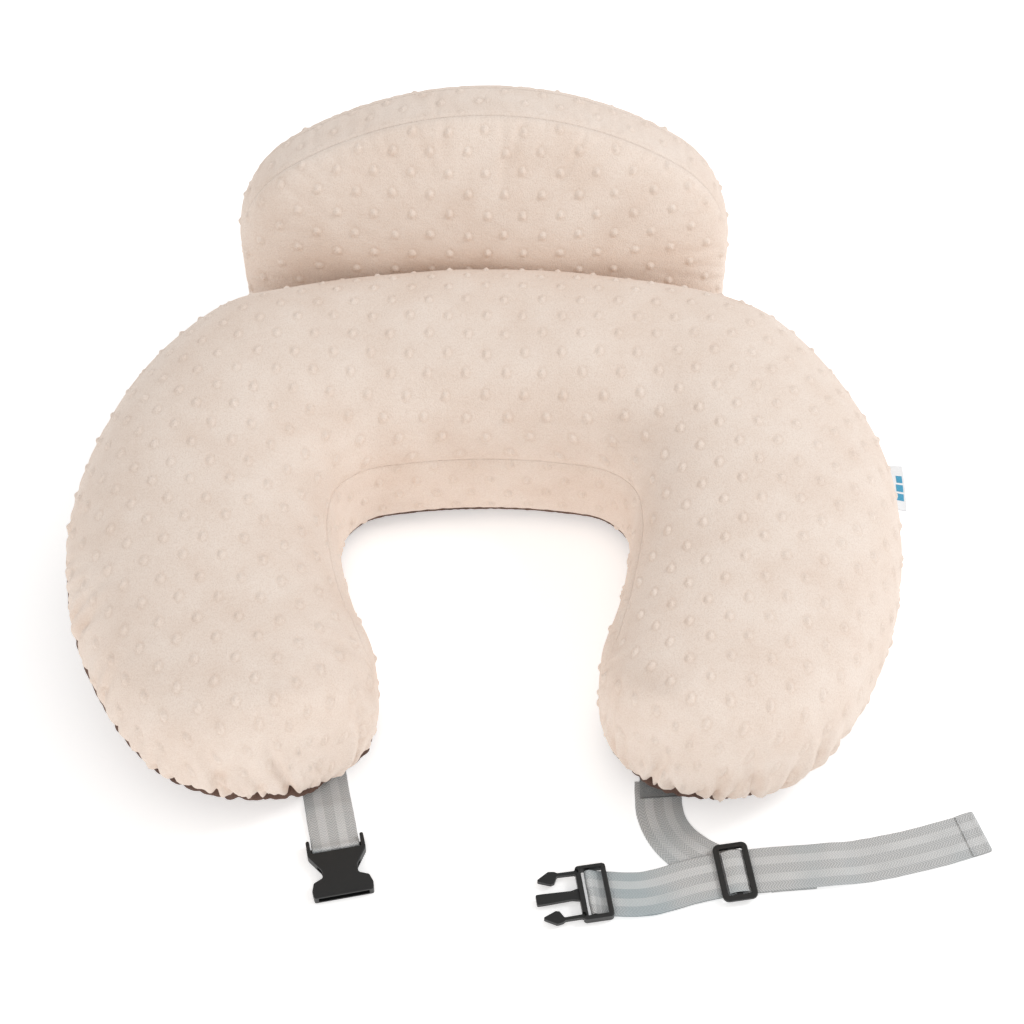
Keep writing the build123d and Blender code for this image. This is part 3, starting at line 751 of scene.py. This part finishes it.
def on_back_wall(angle, z, height):
    """Points on the rear wall of the U, at an angle from its middle in degrees."""
    radius = BACK_RADIUS + height
    turn = np.radians(90 - angle)
    x, y = radius * np.cos(turn), BACK_Y - BACK_RADIUS + radius * np.sin(turn)
    return np.stack(np.broadcast_arrays(x, y, z), -1)


def band(name, place, length, width, thickness, step=1.0, height=None):
    """A strip laid along a place function of (distance, across, height)."""
    s = np.linspace(-length / 2, length / 2, max(2, int(length / step)))
    a = np.linspace(-width / 2, width / 2, max(4, int(width / step)))
    s, a = np.meshgrid(s, a, indexing="ij")
    lift = thickness + (height(s, a) if height else 0)
    points = place(s, a, lift).reshape(-1, 3)
    low = place(s, a, 0 * s).reshape(-1, 3)
    quads = grid_faces(grid_ids(s))
    middle = len(points) // 2
    facing = point_normals(points, quads)[middle] @ (points - low)[middle] > 0
    quads = quads if facing else quads[:, ::-1]
    fabric = np.stack([a, s], -1).reshape(-1, 2)
    return doubled(name, points, low, quads, fabric, [rim_faces(quads, len(points))])


def wall_place(z, base):
    """Place function for strips on the rear wall of the U, centred at height z."""

    def place(s, a, height):
        return on_back_wall(np.degrees(s / BACK_RADIUS), z + a, base + height)

    return place


def support_back_place(base):
    """Place function for strips on the back of the support pillow, centred on its zip."""

    def place(s, a, height):
        return lean_back(-s, SUPPORT_THICKNESS + base + height, SUPPORT_ZIP_RISE + a)

    return place


def blobs(name, centres, axes, sides=6):
    """Many small rounded bars as one piece; axes are three half-length vectors per bar."""
    ring = np.linspace(0, 2 * np.pi, sides, endpoint=False)
    shape = [np.array([[-1.0, 0, 0]])]
    for level, wide in [(-0.85, 0.7), (0, 1.0), (0.85, 0.7)]:
        shape.append(np.stack([np.full(sides, level), wide * np.cos(ring), wide * np.sin(ring)], 1))
    shape.append(np.array([[1.0, 0, 0]]))
    shape = np.concatenate(shape)
    points = centres[:, None, :] + np.einsum("vk,nkc->nvc", shape, axes)
    a = 1 + np.arange(sides)
    b = 1 + np.arange(1, sides + 1) % sides
    far = 2 * sides
    ends = [np.stack([0 * a, b, a], 1), np.stack([0 * a + far + sides + 1, far + a, far + b], 1)]
    sleeves = [np.stack([k + a, k + b, k + sides + b, k + sides + a], 1) for k in (0, sides)]
    shift = (np.arange(len(centres)) * len(shape))[:, None, None]
    faces = []
    for part in (np.concatenate(ends), np.concatenate(sleeves)):
        faces.append((part[None] + shift).reshape(-1, part.shape[1]))
    flat = points.reshape(-1, 3)
    return make_mesh(name, flat, faces, flat[:, :2])


def bars(name, place, s, a, size, base):
    """Small bars at (s, a) of a place function, with half sizes along, across and out."""
    middle = place(s, a, base + 0 * s)
    along = place(s + size[0], a, base + 0 * s) - middle
    across = place(s, a + size[1], base + 0 * s) - middle
    out = place(s, a, base + size[2] + 0 * s) - middle
    return blobs(name, middle, np.stack([along, across, out], 1))


def zip_pieces(name, place, length):
    """Two woven tapes side by side with the coil's teeth between them, and their stitching."""

    def weave(s, a):
        ribs = 0.05 * np.sin(s * 2 * np.pi / 2.2) * np.sin(a * 2 * np.pi / 1.6)
        return ribs - 0.45 * np.exp(-((a / 0.5) ** 2)) + 0.15 * np.exp(-(((np.abs(a) - 6.4) / 0.5) ** 2))

    tapes = band(f"{name}_tapes_visual", place, length, 14.0, 0.7, 0.5, weave)
    s = np.arange(-length / 2 + 2, length / 2 - 2, 1.45)
    tooth = (0.5, 1.35, 0.42)
    left = bars(f"{name}_coil_visual", place, s, -0.75 + 0 * s, tooth, 1.0)
    right = bars(f"{name}_coil_right_visual", place, s + 0.72, 0.75 + 0 * s, tooth, 1.0)
    stitch = np.concatenate([s[::2], s[::2]])
    side = np.repeat([-4.6, 4.6], len(s[::2]))
    thread = bars(f"{name}_stitching_visual", place, stitch, side, (1.0, 0.22, 0.2), 0.8)
    return tapes, left, right, thread


def loop_patch():
    def pile(s, a):
        return 0.35 * noise(s, a, 1.1, 51) + 0.25 * noise(s, a, 2.7, 52)

    return band("loop_strip_visual", wall_place(PATCH_Z, 0.2), *PATCH_SIZE, 1.5, 0.7, pile)


def hook_patch():
    """The hook half: its backing on the support pillow's face, and rows of small hooks toward the U."""

    def place(s, a, height):
        return on_back_wall(np.degrees(s / BACK_RADIUS), PATCH_Z + a, 6.1 - height)

    backing = band("hook_strip_visual", place, *PATCH_SIZE, 1.0, 1.5)
    s, a = np.meshgrid(np.arange(-77, 77.5, 2.2), np.arange(-17, 17.5, 2.0), indexing="ij")
    s, a = s.ravel(), a.ravel() + 1.0 * (np.round(s.ravel() / 2.2) % 2)
    return backing, bars("hook_strip_hooks_visual", place, s, a, (0.3, 0.3, 1.1), 1.9)


# ---- belt ----

def ribbon(name, path, lateral, width=WEB, thickness=WEB_T - 0.1):
    """Webbing along a path of 3-D points, with the direction of its width at each of them."""
    distance = lengths(path)
    count = max(3, int(distance[-1] / 1.1))
    at = np.linspace(0, distance[-1], count)
    centre = pick(path, distance, at)
    side = pick(lateral, distance, at)
    side /= np.linalg.norm(side, axis=1, keepdims=True)
    tangent = np.gradient(centre, axis=0)
    normal = np.cross(tangent, side)
    normal /= np.linalg.norm(normal, axis=1, keepdims=True)
    half = width / 2
    a = half * np.sin(np.linspace(-1, 1, 45) * np.pi / 2)
    a = 0.5 * a + 0.5 * np.linspace(-half, half, 45)
    rib = 0.16 * (smooth(3.0, 3.8, np.abs(np.abs(a) - 7.5)) * -1 + 1)
    body = (thickness / 2 - 0.16) * np.clip(1 - (np.abs(a) / half) ** 14, 0.0, 1) ** 0.5
    ring_a = np.concatenate([a, a[-2:0:-1]])
    ring_b = np.concatenate([body + rib, -(body + rib)[-2:0:-1]])
    ring_b[0] = ring_b[len(a) - 1] = 0
    selvedge = np.sign(ring_a) * (np.abs(ring_a) > half * 0.8)
    wander = 0.18 * noise(at, 0 * at, 9, 3)[:, None] * selvedge
    points = centre[:, None] + side[:, None] * (ring_a + wander)[..., None]
    points = points + normal[:, None] * ring_b[None, :, None]
    ids = grid_ids(points)
    quads = grid_faces(np.concatenate([ids, ids[:, :1]], 1))
    fabric = np.stack(np.broadcast_arrays(ring_a, at[:, None]), -1).reshape(-1, 2)
    return make_mesh(name, points.reshape(-1, 3), [quads, ids[:1, ::-1], ids[-1:]], fabric)


def arc_points(centre_x, centre_z, radius, start, stop):
    """Points of an arc in the (distance, height) plane, between two angles in degrees."""
    turn = np.radians(np.linspace(start, stop, 24))
    return np.stack([centre_x + radius * np.cos(turn), centre_z + radius * np.sin(turn)], 1)


def rounded(*points, passes=3):
    """Corner cutting of a row of points."""
    points = np.array(points)
    for _ in range(passes):
        near = points[:-1] * 0.75 + points[1:] * 0.25
        far = points[:-1] * 0.25 + points[1:] * 0.75
        middle = np.stack([near, far], 1).reshape(-1, 2)
        points = np.concatenate([points[:1], middle, points[-1:]])
    return points


def dense(*points, step=0.6):
    """Close points along a row of corners."""
    points = np.array(points)
    distance = lengths(points)
    return pick(points, distance, np.linspace(0, distance[-1], max(2, int(distance[-1] / step))))


def plan_axes(heading):
    """Unit vectors ahead and to the left in plan, for a heading in degrees."""
    turn = radians(heading)
    return np.array([cos(turn), sin(turn)]), np.array([-sin(turn), cos(turn)])


def run_plan(s):
    """Plan point and width direction at a distance along the run from the tri-glide, tail included."""
    forward, left = plan_axes(RUN_HEADING)

    def point(at):
        at = np.asarray(at, float)
        back = (np.clip(-at, 0, BAR_FROM_GLIDE) / BAR_FROM_GLIDE) ** 1.5
        sway = -6.0 * np.sin(np.pi * back) ** 2 - 4.0 * smooth(8, TAIL_STRAIGHT, at)
        bent = np.clip(at - TAIL_STRAIGHT, 0, None) / TAIL_RADIUS
        ahead = np.minimum(at, TAIL_STRAIGHT) + TAIL_RADIUS * np.sin(bent)
        off = sway + TAIL_RADIUS * (1 - np.cos(bent))
        return np.array(GLIDE_POINT) + ahead[..., None] * forward + off[..., None] * left

    ahead = point(np.asarray(s) + 0.05) - point(np.asarray(s) - 0.05)
    side = np.stack([-ahead[..., 1], ahead[..., 0]], -1)
    return point(s), side / np.linalg.norm(side, axis=-1, keepdims=True)


def in_run(profile_points):
    """3-D points and width directions for a profile of (distance along the run, height)."""
    plan, side = run_plan(profile_points[:, 0])
    return np.column_stack([plan, profile_points[:, 1]]), np.column_stack([side, 0 * side[:, 0]])


def root_curve():
    """The strap on the floor from under the right arm to where it goes beneath the run."""
    first, first_heading = walk((140.0, -349.0), -90.0, [(19.0, 0.0), (55.0, -45.0)])
    x, y = first[-1]
    heading, run = radians(-45), radians(RUN_HEADING)
    gap = (y - GLIDE_POINT[1]) - (x - GLIDE_POINT[0]) * np.tan(run)
    fall = (cos(run) - cos(heading)) + (sin(run) - sin(heading)) * np.tan(run)
    second, second_heading = walk((x, y), -45.0, [(gap / fall, -(RUN_HEADING + 45.0))])
    plan = np.concatenate([first, second[1:]])
    headings = np.radians(np.concatenate([first_heading, second_heading[1:]]))
    side = np.stack([-np.sin(headings), np.cos(headings), 0 * headings], 1)
    return np.column_stack([plan, np.full(len(plan), FLOOR_Z)]), side


def long_strap():
    root, root_side = root_curve()
    joined = np.hypot(*(root[-1, :2] - GLIDE_POINT)) * np.sign(root[-1, 0] - GLIDE_POINT[0])
    bar, bar_z, wrap = -BAR_FROM_GLIDE, 5.15, 2.9
    off = radians(50)
    tangent = (bar + wrap * cos(off), bar_z + wrap * sin(off))
    foot = tangent[0] + (tangent[1] - UPPER_Z) / np.tan(radians(40))
    parts = [
        dense((joined + 0.5, FLOOR_Z), (62.0, FLOOR_Z)),
        arc_points(62.0, (FLOOR_Z + LOWER_Z) / 2, LAYER_PITCH / 2, -90, 90),
        dense((62.0, LOWER_Z), (bar, LOWER_Z)),
        arc_points(bar, bar_z, wrap, -90, -310),
        dense(*rounded(tangent, (foot, UPPER_Z), (foot + 9, UPPER_Z))),
        dense((foot + 10, UPPER_Z), (69.0, UPPER_Z)),
        dense(*rounded((70.0, UPPER_Z), (80.0, UPPER_Z), (96.0, FLOOR_Z), (112.0, FLOOR_Z), passes=5)),
        dense((113.0, FLOOR_Z), (TAIL_END, FLOOR_Z)),
    ]
    run, run_side = in_run(np.concatenate(parts))
    return ribbon("long_strap_visual", np.concatenate([root, run]), np.concatenate([root_side, run_side]))


def tail_hem():
    """The turned-over end of the tail, and the stitching that holds it."""
    top = WEB_T + FLOOR_Z
    fold = arc_points(TAIL_END, WEB_T, FLOOR_Z + 0.02, -90, 90)
    lay = np.concatenate([fold, dense((TAIL_END - 0.5, top), (TAIL_END - 15.0, top - 0.05))])
    hem = ribbon("tail_hem_visual", *in_run(lay), width=WEB - 0.6)
    rows = [stitch_row(*run_plan(TAIL_END - back), 2.24, top + 0.62) for back in (12.5, 3.0)]
    return hem, stitched("tail_stitching_visual", rows)


def stitch_row(middle, side, pitch, z):
    """Centres and directions of a row of stitches across the webbing."""
    a = np.arange(-WEB / 2 + 2.5, WEB / 2 - 2.4, pitch)[:, None]
    return np.column_stack([middle + a * side, 0 * a + z]), np.column_stack([0 * a + side, 0 * a])


def stitched(name, rows, long=0.95, wide=0.28):
    """Small stitches as one piece, from rows of (centres, directions)."""
    centres = np.concatenate([row[0] for row in rows])
    ahead = np.concatenate([row[1] for row in rows])
    up = np.tile([0, 0, wide * 0.8], (len(centres), 1))
    across = np.cross(up / (wide * 0.8), ahead) * wide
    return blobs(name, centres, np.stack([ahead * long, across, up], 1))


def hump():
    """The strap's turn over the middle bar of the tri-glide."""
    x = np.linspace(-7.6, 7.6, 40)
    z = 5.2 + 3.35 * np.sqrt(np.clip(1 - (x / 8.6) ** 2, 0, 1)) ** 1.3
    path, side = in_run(np.column_stack([x, z]))
    return ribbon("tri_glide_strap_turn_visual", path, side, width=WEB - 1.2, thickness=1.1)


def short_strap():
    x0, y0, bar_z = FEMALE_BAR
    wrap, climb = 2.55, radians(55)
    flat_z = bar_z - wrap + WEB_T + 0.15
    tangent = (-wrap * cos(climb), bar_z + wrap * sin(climb))
    foot = tangent[0] - (tangent[1] - flat_z) / np.tan(radians(35))
    parts = [
        dense(*rounded((-92.0, FLOOR_Z), (-46.0, FLOOR_Z), (-40.0, flat_z), (-33.0, flat_z))),
        dense(*rounded((-32.0, flat_z), (foot, flat_z), tangent)),
        arc_points(0, bar_z, wrap, 125, -90),
        dense((-1.0, bar_z - wrap), (-32.0, bar_z - wrap)),
    ]
    profile_points = np.concatenate(parts)
    forward, side = plan_axes(SHORT_HEADING)
    plan = np.array([x0, y0]) + profile_points[:, :1] * forward
    path = np.column_stack([plan, profile_points[:, 1]])
    strap = ribbon("short_strap_visual", path, np.tile([*side, 0], (len(path), 1)))
    rows = [stitch_row((x0, y0) + s * forward, side, 2.3, flat_z + 0.62) for s in (-29.5, -25.5)]
    return strap, stitched("short_strap_stitching_visual", rows)


def root_fold():
    """The doubled end of the long strap where it leaves the arm, in a darker webbing colour that is painted
    shade under the arm.
    """
    path = np.array([(144.0, y, 2.1) for y in np.linspace(-345.0, -364.0, 30)])
    path[:, 2] += 2.5 * smooth(-362, -345, path[:, 1])
    return ribbon("root_fold_visual", path, np.tile([0.998, 0.06, 0], (len(path), 1)))


def side_label():
    """The folded tab in the outer seam, with a plain mark of bars on its upper face."""
    across = np.linspace(-22.5, 22.5, 60)
    turn = np.radians(np.linspace(90, -90, 14))
    top = np.linspace(-LABEL_ROOT, LABEL_REACH - 1, 46)
    profile_out = np.concatenate([top, LABEL_REACH - 1 + LABEL_HALF * np.cos(turn), top[::-1]])
    profile_up = np.concatenate([0 * top + LABEL_HALF, LABEL_HALF * np.sin(turn), 0 * top - LABEL_HALF])
    out, along = np.meshgrid(profile_out, across, indexing="ij")
    points = place_label(out, along, profile_up[:, None] + 0 * along)
    fabric = np.stack([along, out], -1)
    tab = thin_shell("side_label_visual", points, grid_faces(grid_ids(points)), 0.35, fabric)
    marks = []
    for k, (low, high) in enumerate([(-13, -6), (-4, 3), (5, 12)]):
        u, v = np.meshgrid(np.linspace(low, high, 12), np.linspace(5.5 + 0.8 * k, 12.5, 10), indexing="ij")
        marks.append(place_label(v, u, LABEL_HALF + 0.11 + 0 * u))
    marks = np.stack(marks)
    ids = np.arange(marks[..., 0].size).reshape(marks.shape[:3])
    quads = np.concatenate([grid_faces(i)[:, ::-1] for i in ids])
    return tab, thin_shell("side_label_mark_visual", marks, quads, 0.1, marks[..., :2])


def place_label(out, along, up):
    """Points of the label, which leans a little along the seam, droops and waves."""
    angle = radians(0.5)
    x = LABEL_CENTRE[0] + out * cos(angle) - along * sin(angle) - along**2 / 600
    y = LABEL_CENTRE[1] + out * sin(angle) + along * cos(angle)
    free = smooth(0, LABEL_REACH, out)
    return np.stack([x, y, LABEL_Z + up + (1.6 * np.sin(along / 15) * free - 2.2 * free**1.5)], -1)


# ---- materials ----

class Shader:
    """A material's node tree with short ways to add nodes and link them."""

    def __init__(self, name, colour, roughness):
        self.material = bpy.data.materials.new(name)
        self.material.use_nodes = True
        self.tree = self.material.node_tree
        self.base = self.tree.nodes["Principled BSDF"]
        self.base.inputs["Base Color"].default_value = (*colour, 1)
        self.base.inputs["Roughness"].default_value = roughness

    def set(self, **values):
        for name, value in values.items():
            self.base.inputs[name.replace("_", " ")].default_value = value
        return self

    def node(self, kind, **settings):
        made = self.tree.nodes.new(kind)
        for name, value in settings.items():
            if name in made.inputs:
                made.inputs[name].default_value = value
            else:
                setattr(made, name, value)
        return made

    def link(self, source, target, socket):
        self.tree.links.new(source, target.inputs[socket])

    def fabric(self):
        """The fabric coordinates of the piece, in metres."""
        return self.node("ShaderNodeAttribute", attribute_name="fabric").outputs["Vector"]

    def place(self):
        return self.node("ShaderNodeTexCoord").outputs["Object"]

    def noise(self, vector, scale, detail=3.0):
        made = self.node("ShaderNodeTexNoise", Scale=scale, Detail=detail)
        self.link(vector, made, "Vector")
        return made.outputs["Fac"]

    def maths(self, operation, first, second=None):
        made = self.node("ShaderNodeMath", operation=operation)
        for socket, value in enumerate([first, second]):
            if value is None:
                continue
            if isinstance(value, (int, float)):
                made.inputs[socket].default_value = value
            else:
                self.link(value, made, socket)
        return made.outputs[0]

    def between(self, factor, low, high, start=0.3, stop=0.7):
        ramp = self.node("ShaderNodeValToRGB")
        ramp.color_ramp.elements[0].position = start
        ramp.color_ramp.elements[1].position = stop
        ramp.color_ramp.elements[0].color = (*low, 1)
        ramp.color_ramp.elements[1].color = (*high, 1)
        self.link(factor, ramp, "Fac")
        return ramp.outputs["Color"]

    def split(self, vector):
        """The x, y and z of a vector."""
        made = self.node("ShaderNodeSeparateXYZ")
        self.link(vector, made, 0)
        return made.outputs

    def ranged(self, value, **ends):
        """The value mapped from one range to another; the ends are given as From_Min and so on."""
        made = self.node("ShaderNodeMapRange", **{key.replace("_", " "): end for key, end in ends.items()})
        self.link(value, made, "Value")
        return made.outputs[0]

    def mix(self, factor, low, high, blend="MIX"):
        made = self.node("ShaderNodeMix", data_type="RGBA", blend_type=blend)
        for socket, value in ((0, factor), (6, low), (7, high)):
            if hasattr(value, "node"):
                self.link(value, made, socket)
            else:
                made.inputs[socket].default_value = value if socket == 0 else (*value, 1)
        return made.outputs[2]

    def colour(self, source):
        self.link(source, self.base, "Base Color")
        return self

    def bump(self, height, distance, strength=1.0):
        made = self.node("ShaderNodeBump", Strength=strength, Distance=distance)
        self.link(height, made, "Height")
        self.link(made.outputs["Normal"], self.base, "Normal")
        return self


def plush_material(name, deep, pale, tint, sheen):
    """Short-pile plush: brushed patches, a fine nap, a soft sheen, and painted shade in the hollow round
    each raised dot.
    """
    shader = Shader(name, pale, 0.95)
    place = shader.place()
    brushed = shader.between(shader.noise(place, 26, 4), deep, pale, 0.25, 0.65)
    nap = shader.noise(place, 800, 5)
    grain = shader.between(nap, tint, (1, 1, 1), 0.25, 0.6)
    both = shader.mix(1.0, brushed, grain, "MULTIPLY")
    # painted shade: the colour darkens where the dot relief dips into the ring round each dot
    ring_shade_mask = shader.ranged(shader.split(shader.fabric())[2], From_Min=-0.16, From_Max=0.0)
    painted_ring_shade = shader.mix(ring_shade_mask, (0.95, 0.93, 0.915), (1, 1, 1))
    shader.colour(shader.mix(1.0, both, painted_ring_shade, "MULTIPLY")).bump(nap, 0.0009, 0.8)
    return shader.set(Sheen_Weight=sheen, Sheen_Roughness=0.55, Sheen_Tint=(*pale, 1)).material


def fabric_material(name, low, high, scale):
    shader = Shader(name, high, 0.9)
    weave = shader.noise(shader.place(), scale, 2)
    return shader.colour(shader.between(weave, low, high)).bump(weave, 0.0003).material


def webbing_material(name, dark, pale, cool):
    """Twill webbing: a herringbone of ribs, two lighter stripes along it brightened in patches as painted
    sheen, and a cool cast in places.
    """
    shader = Shader(name, pale, 0.42)
    across, along, _ = shader.split(shader.fabric())
    slant = shader.maths("ADD", along, shader.maths("PINGPONG", across, 0.0032))
    wave = shader.maths("SINE", shader.maths("MULTIPLY", slant, 2 * np.pi / 0.0024))
    rib = shader.maths("ADD", shader.maths("MULTIPLY", wave, 0.5), 0.5)
    thread = shader.maths("SINE", shader.maths("MULTIPLY", across, 2 * np.pi / 0.0008))
    threads = shader.maths("ADD", shader.maths("MULTIPLY", thread, 0.25), 0.5)
    off_band = shader.maths("SUBTRACT", shader.maths("ABSOLUTE", across), 0.0075)
    in_band = shader.maths("LESS_THAN", shader.maths("ABSOLUTE", off_band), 0.0034)
    height = shader.maths("ADD", rib, threads)
    speckle = shader.noise(shader.fabric(), 1300, 3)
    twill = shader.mix(shader.maths("MULTIPLY", shader.maths("ADD", rib, speckle), 0.5), dark, pale)
    slow = shader.ranged(shader.noise(shader.place(), 11, 2), From_Min=0.42, From_Max=0.62)
    cooled = shader.mix(shader.maths("MULTIPLY", slow, 0.7), twill, cool)
    # the two stripes on the raised ribs, lighter in patches: partly the stripes' paler thread, partly
    # painted sheen
    light = tuple(min(1.0, c * 1.2) for c in pale)
    sheen_patches = shader.maths("MULTIPLY", shader.noise(shader.place(), 24, 2), 0.5)
    banded = shader.mix(shader.maths("MULTIPLY", in_band, sheen_patches), cooled, light)
    return shader.colour(banded).bump(height, 0.00025, 0.8).set(Sheen_Weight=0.15).material


def plastic_material(name, colour, roughness, grain=0.00006):
    shader = Shader(name, colour, roughness)
    fine = shader.noise(shader.place(), 2200, 2)
    wear = shader.noise(shader.place(), 90, 3)
    worn = shader.ranged(wear, To_Min=roughness - 0.06, To_Max=roughness + 0.1)
    shader.link(worn, shader.base, "Roughness")
    return shader.bump(fine, grain, 0.6).material


MATERIALS = {
    "minky_light": plush_material(
        "minky_light", (0.84, 0.705, 0.61), (0.9, 0.787, 0.702), (0.9, 0.865, 0.84), sheen=0.25
    ),
    "plush_brown": plush_material(
        "plush_brown", (0.07, 0.035, 0.025), (0.17, 0.1, 0.075), (0.6, 0.55, 0.5), sheen=0.4
    ),
    "webbing": webbing_material("webbing", (0.28, 0.29, 0.295), (0.74, 0.745, 0.74), (0.36, 0.44, 0.47)),
}
for fabric_name, shade, light, threads_per_metre in [
    ("liner_fabric", (0.75, 0.74, 0.7), (0.88, 0.87, 0.84), 700.0),
    ("fibre_filling", (0.85, 0.85, 0.83), (0.94, 0.94, 0.92), 90.0),
    ("zip_tape", (0.6, 0.47, 0.38), (0.76, 0.62, 0.52), 1500.0),
    ("loop_tape", (0.66, 0.56, 0.48), (0.84, 0.74, 0.66), 1100.0),
    ("label_fabric", (0.84, 0.86, 0.88), (0.93, 0.94, 0.95), 1600.0),
    ("label_mark", (0.06, 0.3, 0.5), (0.1, 0.42, 0.62), 1500.0),
    ("webbing_thread", (0.5, 0.51, 0.51), (0.8, 0.8, 0.79), 2500.0),
    # painted shade: a darker copy of the webbing colour for the strap's end in the shade of the arm
    ("shaded_root_webbing", (0.17, 0.18, 0.185), (0.34, 0.35, 0.35), 1500.0),
]:
    MATERIALS[fabric_name] = fabric_material(fabric_name, shade, light, threads_per_metre)
for plastic_name, shade, roughness in [
    ("zip_coil", (0.7, 0.57, 0.47), 0.4),
    ("zip_metal", (0.7, 0.6, 0.52), 0.3),
    ("hook_tape", (0.8, 0.7, 0.62), 0.45),
    ("buckle_plastic", (0.006, 0.0065, 0.0065), 0.4),
]:
    MATERIALS[plastic_name] = plastic_material(plastic_name, shade, roughness)


def dress(obj, slot, body, *nodes, material=None):
    """Gives a piece its material, named by its slot unless another is given, and its body, and hides the
    CAD nodes that it stands for.
    """
    obj.data.materials.clear()
    obj.data.materials.append(MATERIALS[material or slot])
    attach(obj, body)
    if nodes:
        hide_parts(*nodes)
    return obj


def cloth_area(obj):
    """Half the area of a closed thin piece, in square metres."""
    mesh = obj.data
    area = np.empty(len(mesh.polygons), np.float32)
    mesh.polygons.foreach_get("area", area)
    return float(area.sum()) / 2


def as_panel(obj):
    """Works out the cloth area of a panel; the result is not used."""
    cloth_area(obj)


# ---- the pieces ----

def build_pillow(body, panels, liner, filling):
    """One pillow: its filling, its liner, and cover panels given as (piece, slot, node, flat size)."""
    for piece, slot, node, _ in panels:
        dress(piece, slot, body, node)
    dress(liner, "liner_fabric", body, liner.name.replace("_visual", ""))
    dress(filling, "fibre_filling", body, filling.name.replace("_visual", ""))
    for piece, _, _, flat in panels:
        as_panel(piece)
    as_panel(liner)


def build_zip(name, place, length, body):
    """A zip sewn on the panel under it."""
    tapes, left, right, thread = zip_pieces(name, place, length)
    dress(tapes, "zip_tape", body, f"{name}_tapes")
    dress(left, "zip_coil", body, f"{name}_coil")
    dress(right, "zip_coil", body)
    dress(thread, "zip_tape", body)


def build_main():
    top, gusset, bottom = main_top_panel(), main_inner_gusset(), main_bottom_panel()
    panels = [
        (top, "minky_light", "main_top_panel", (0.82, 0.72)),
        (gusset, "minky_light", "main_inner_gusset", (0.08, 0.84)),
        (bottom, "plush_brown", "main_bottom_panel", (0.72, 0.52)),
    ]
    liner = main_inside("main_liner_visual", MAIN_INSETS[0], LINER)
    filling = main_inside("main_filling_visual", MAIN_INSETS[1])
    build_pillow("main_pillow", panels, liner, filling)
    build_zip("main_zip", wall_place(38.0, 0.3), 2 * 14 * radians(1) * BACK_RADIUS, "main_pillow")
    loops = dress(loop_patch(), "loop_tape", "main_pillow", "loop_strip")
    tab, mark = side_label()
    dress(tab, "label_fabric", "main_pillow", "side_label")
    dress(mark, "label_fabric", "main_pillow", material="label_mark")


def build_support():
    front, gusset, back = support_panel("front", 61), support_panel("gusset", 67), support_panel("back", 73)
    panels = [
        (front, "minky_light", "support_front_panel", (0.44, 0.28)),
        (gusset, "minky_light", "support_gusset", (0.05, 1.3)),
        (back, "minky_light", "support_back_panel", (0.44, 0.28)),
        (support_base(), "plush_brown", "support_base_panel", (0.06, 0.39)),
    ]
    liner = support_inside("support_liner_visual", SUPPORT_INSETS[0], LINER)
    filling = support_inside("support_filling_visual", SUPPORT_INSETS[1])
    build_pillow("support_pillow", panels, liner, filling)
    build_zip("support_zip", support_back_place(0.3), 300.0, "support_pillow")
    backing, hooks = hook_patch()
    dress(backing, "hook_tape", "support_pillow", "hook_strip")
    dress(hooks, "hook_tape", "support_pillow")


def build_belt():
    strap = dress(long_strap(), "webbing", "main_pillow", "long_strap")
    hem, hem_thread = tail_hem()
    fold = root_fold()
    dress(hem, "webbing", "main_pillow")
    dress(hem_thread, "webbing", "main_pillow", material="webbing_thread")
    # the root fold gets the darker webbing colour as painted shade under the arm
    dress(fold, "webbing", "main_pillow", material="shaded_root_webbing")
    short, short_thread = short_strap()
    dress(short, "webbing", "main_pillow", "short_strap")
    dress(short_thread, "webbing", "main_pillow", material="webbing_thread")
    turn = dress(hump(), "webbing", "adjuster", "tri_glide_strap_turn")


def finish_hard_nodes():
    """Materials for the CAD nodes that are shown as they are."""
    shown = {
        "buckle_plastic": ["female_buckle", "male_buckle", "rear_prong", "front_prong", "tri_glide"],
        "zip_metal": ["main_zip_slider", "main_zip_pull", "support_zip_slider", "support_zip_pull"],
    }
    for slot, names in shown.items():
        for name in names:
            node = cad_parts[name]
            node.data.materials.clear()
            node.data.materials.append(MATERIALS[slot])


def soft_light(name, place, target, size, power, colour=(1, 1, 1)):
    light = bpy.data.lights.new(name, "AREA")
    light.shape = "DISK"
    light.size = size
    light.energy = power
    light.color = colour
    lamp = bpy.data.objects.new(name, light)
    lamp.location = place
    lamp.rotation_euler = (Vector(target) - Vector(place)).to_track_quat("-Z", "Y").to_euler()
    bpy.context.scene.collection.objects.link(lamp)


def set_stage():
    bpy.ops.mesh.primitive_plane_add(size=30, location=(0, 0, -0.0005))
    floor = bpy.context.object
    floor.name = "floor"
    white = Shader("floor_white", (0.9, 0.9, 0.9), 0.9)
    floor.data.materials.append(white.set(Emission_Color=(1, 1, 1, 1), Emission_Strength=0.4).material)
    world = bpy.data.worlds.new("studio")
    world.use_nodes = True
    sky = world.node_tree.nodes["Background"].inputs
    sky["Color"].default_value = (1, 1, 1, 1)
    sky["Strength"].default_value = 0.71
    bpy.context.scene.world = world
    soft_light("key", (1.6, 0.1, 1.6), (0, -0.1, 0), 0.6, 13)
    soft_light("front", (-0.9, -2.2, 1.6), (0, -0.1, 0), 1.0, 9, (1, 0.91, 0.83))


def set_camera():
    target = Vector((0.022, -0.082, 0.0))
    elevation, distance = radians(55), 2.2
    camera = bpy.data.cameras.new("camera")
    camera.lens = 88.85
    camera.sensor_width = 36
    shot = bpy.data.objects.new("camera", camera)
    shot.location = target + distance * Vector((0, -cos(elevation), sin(elevation)))
    shot.rotation_euler = (radians(90) - elevation, 0, 0)
    bpy.context.scene.collection.objects.link(shot)
    bpy.context.scene.camera = shot


build_main()
build_support()
build_belt()
finish_hard_nodes()
set_stage()
set_camera()
bpy.context.scene.view_settings.view_transform = "Standard"
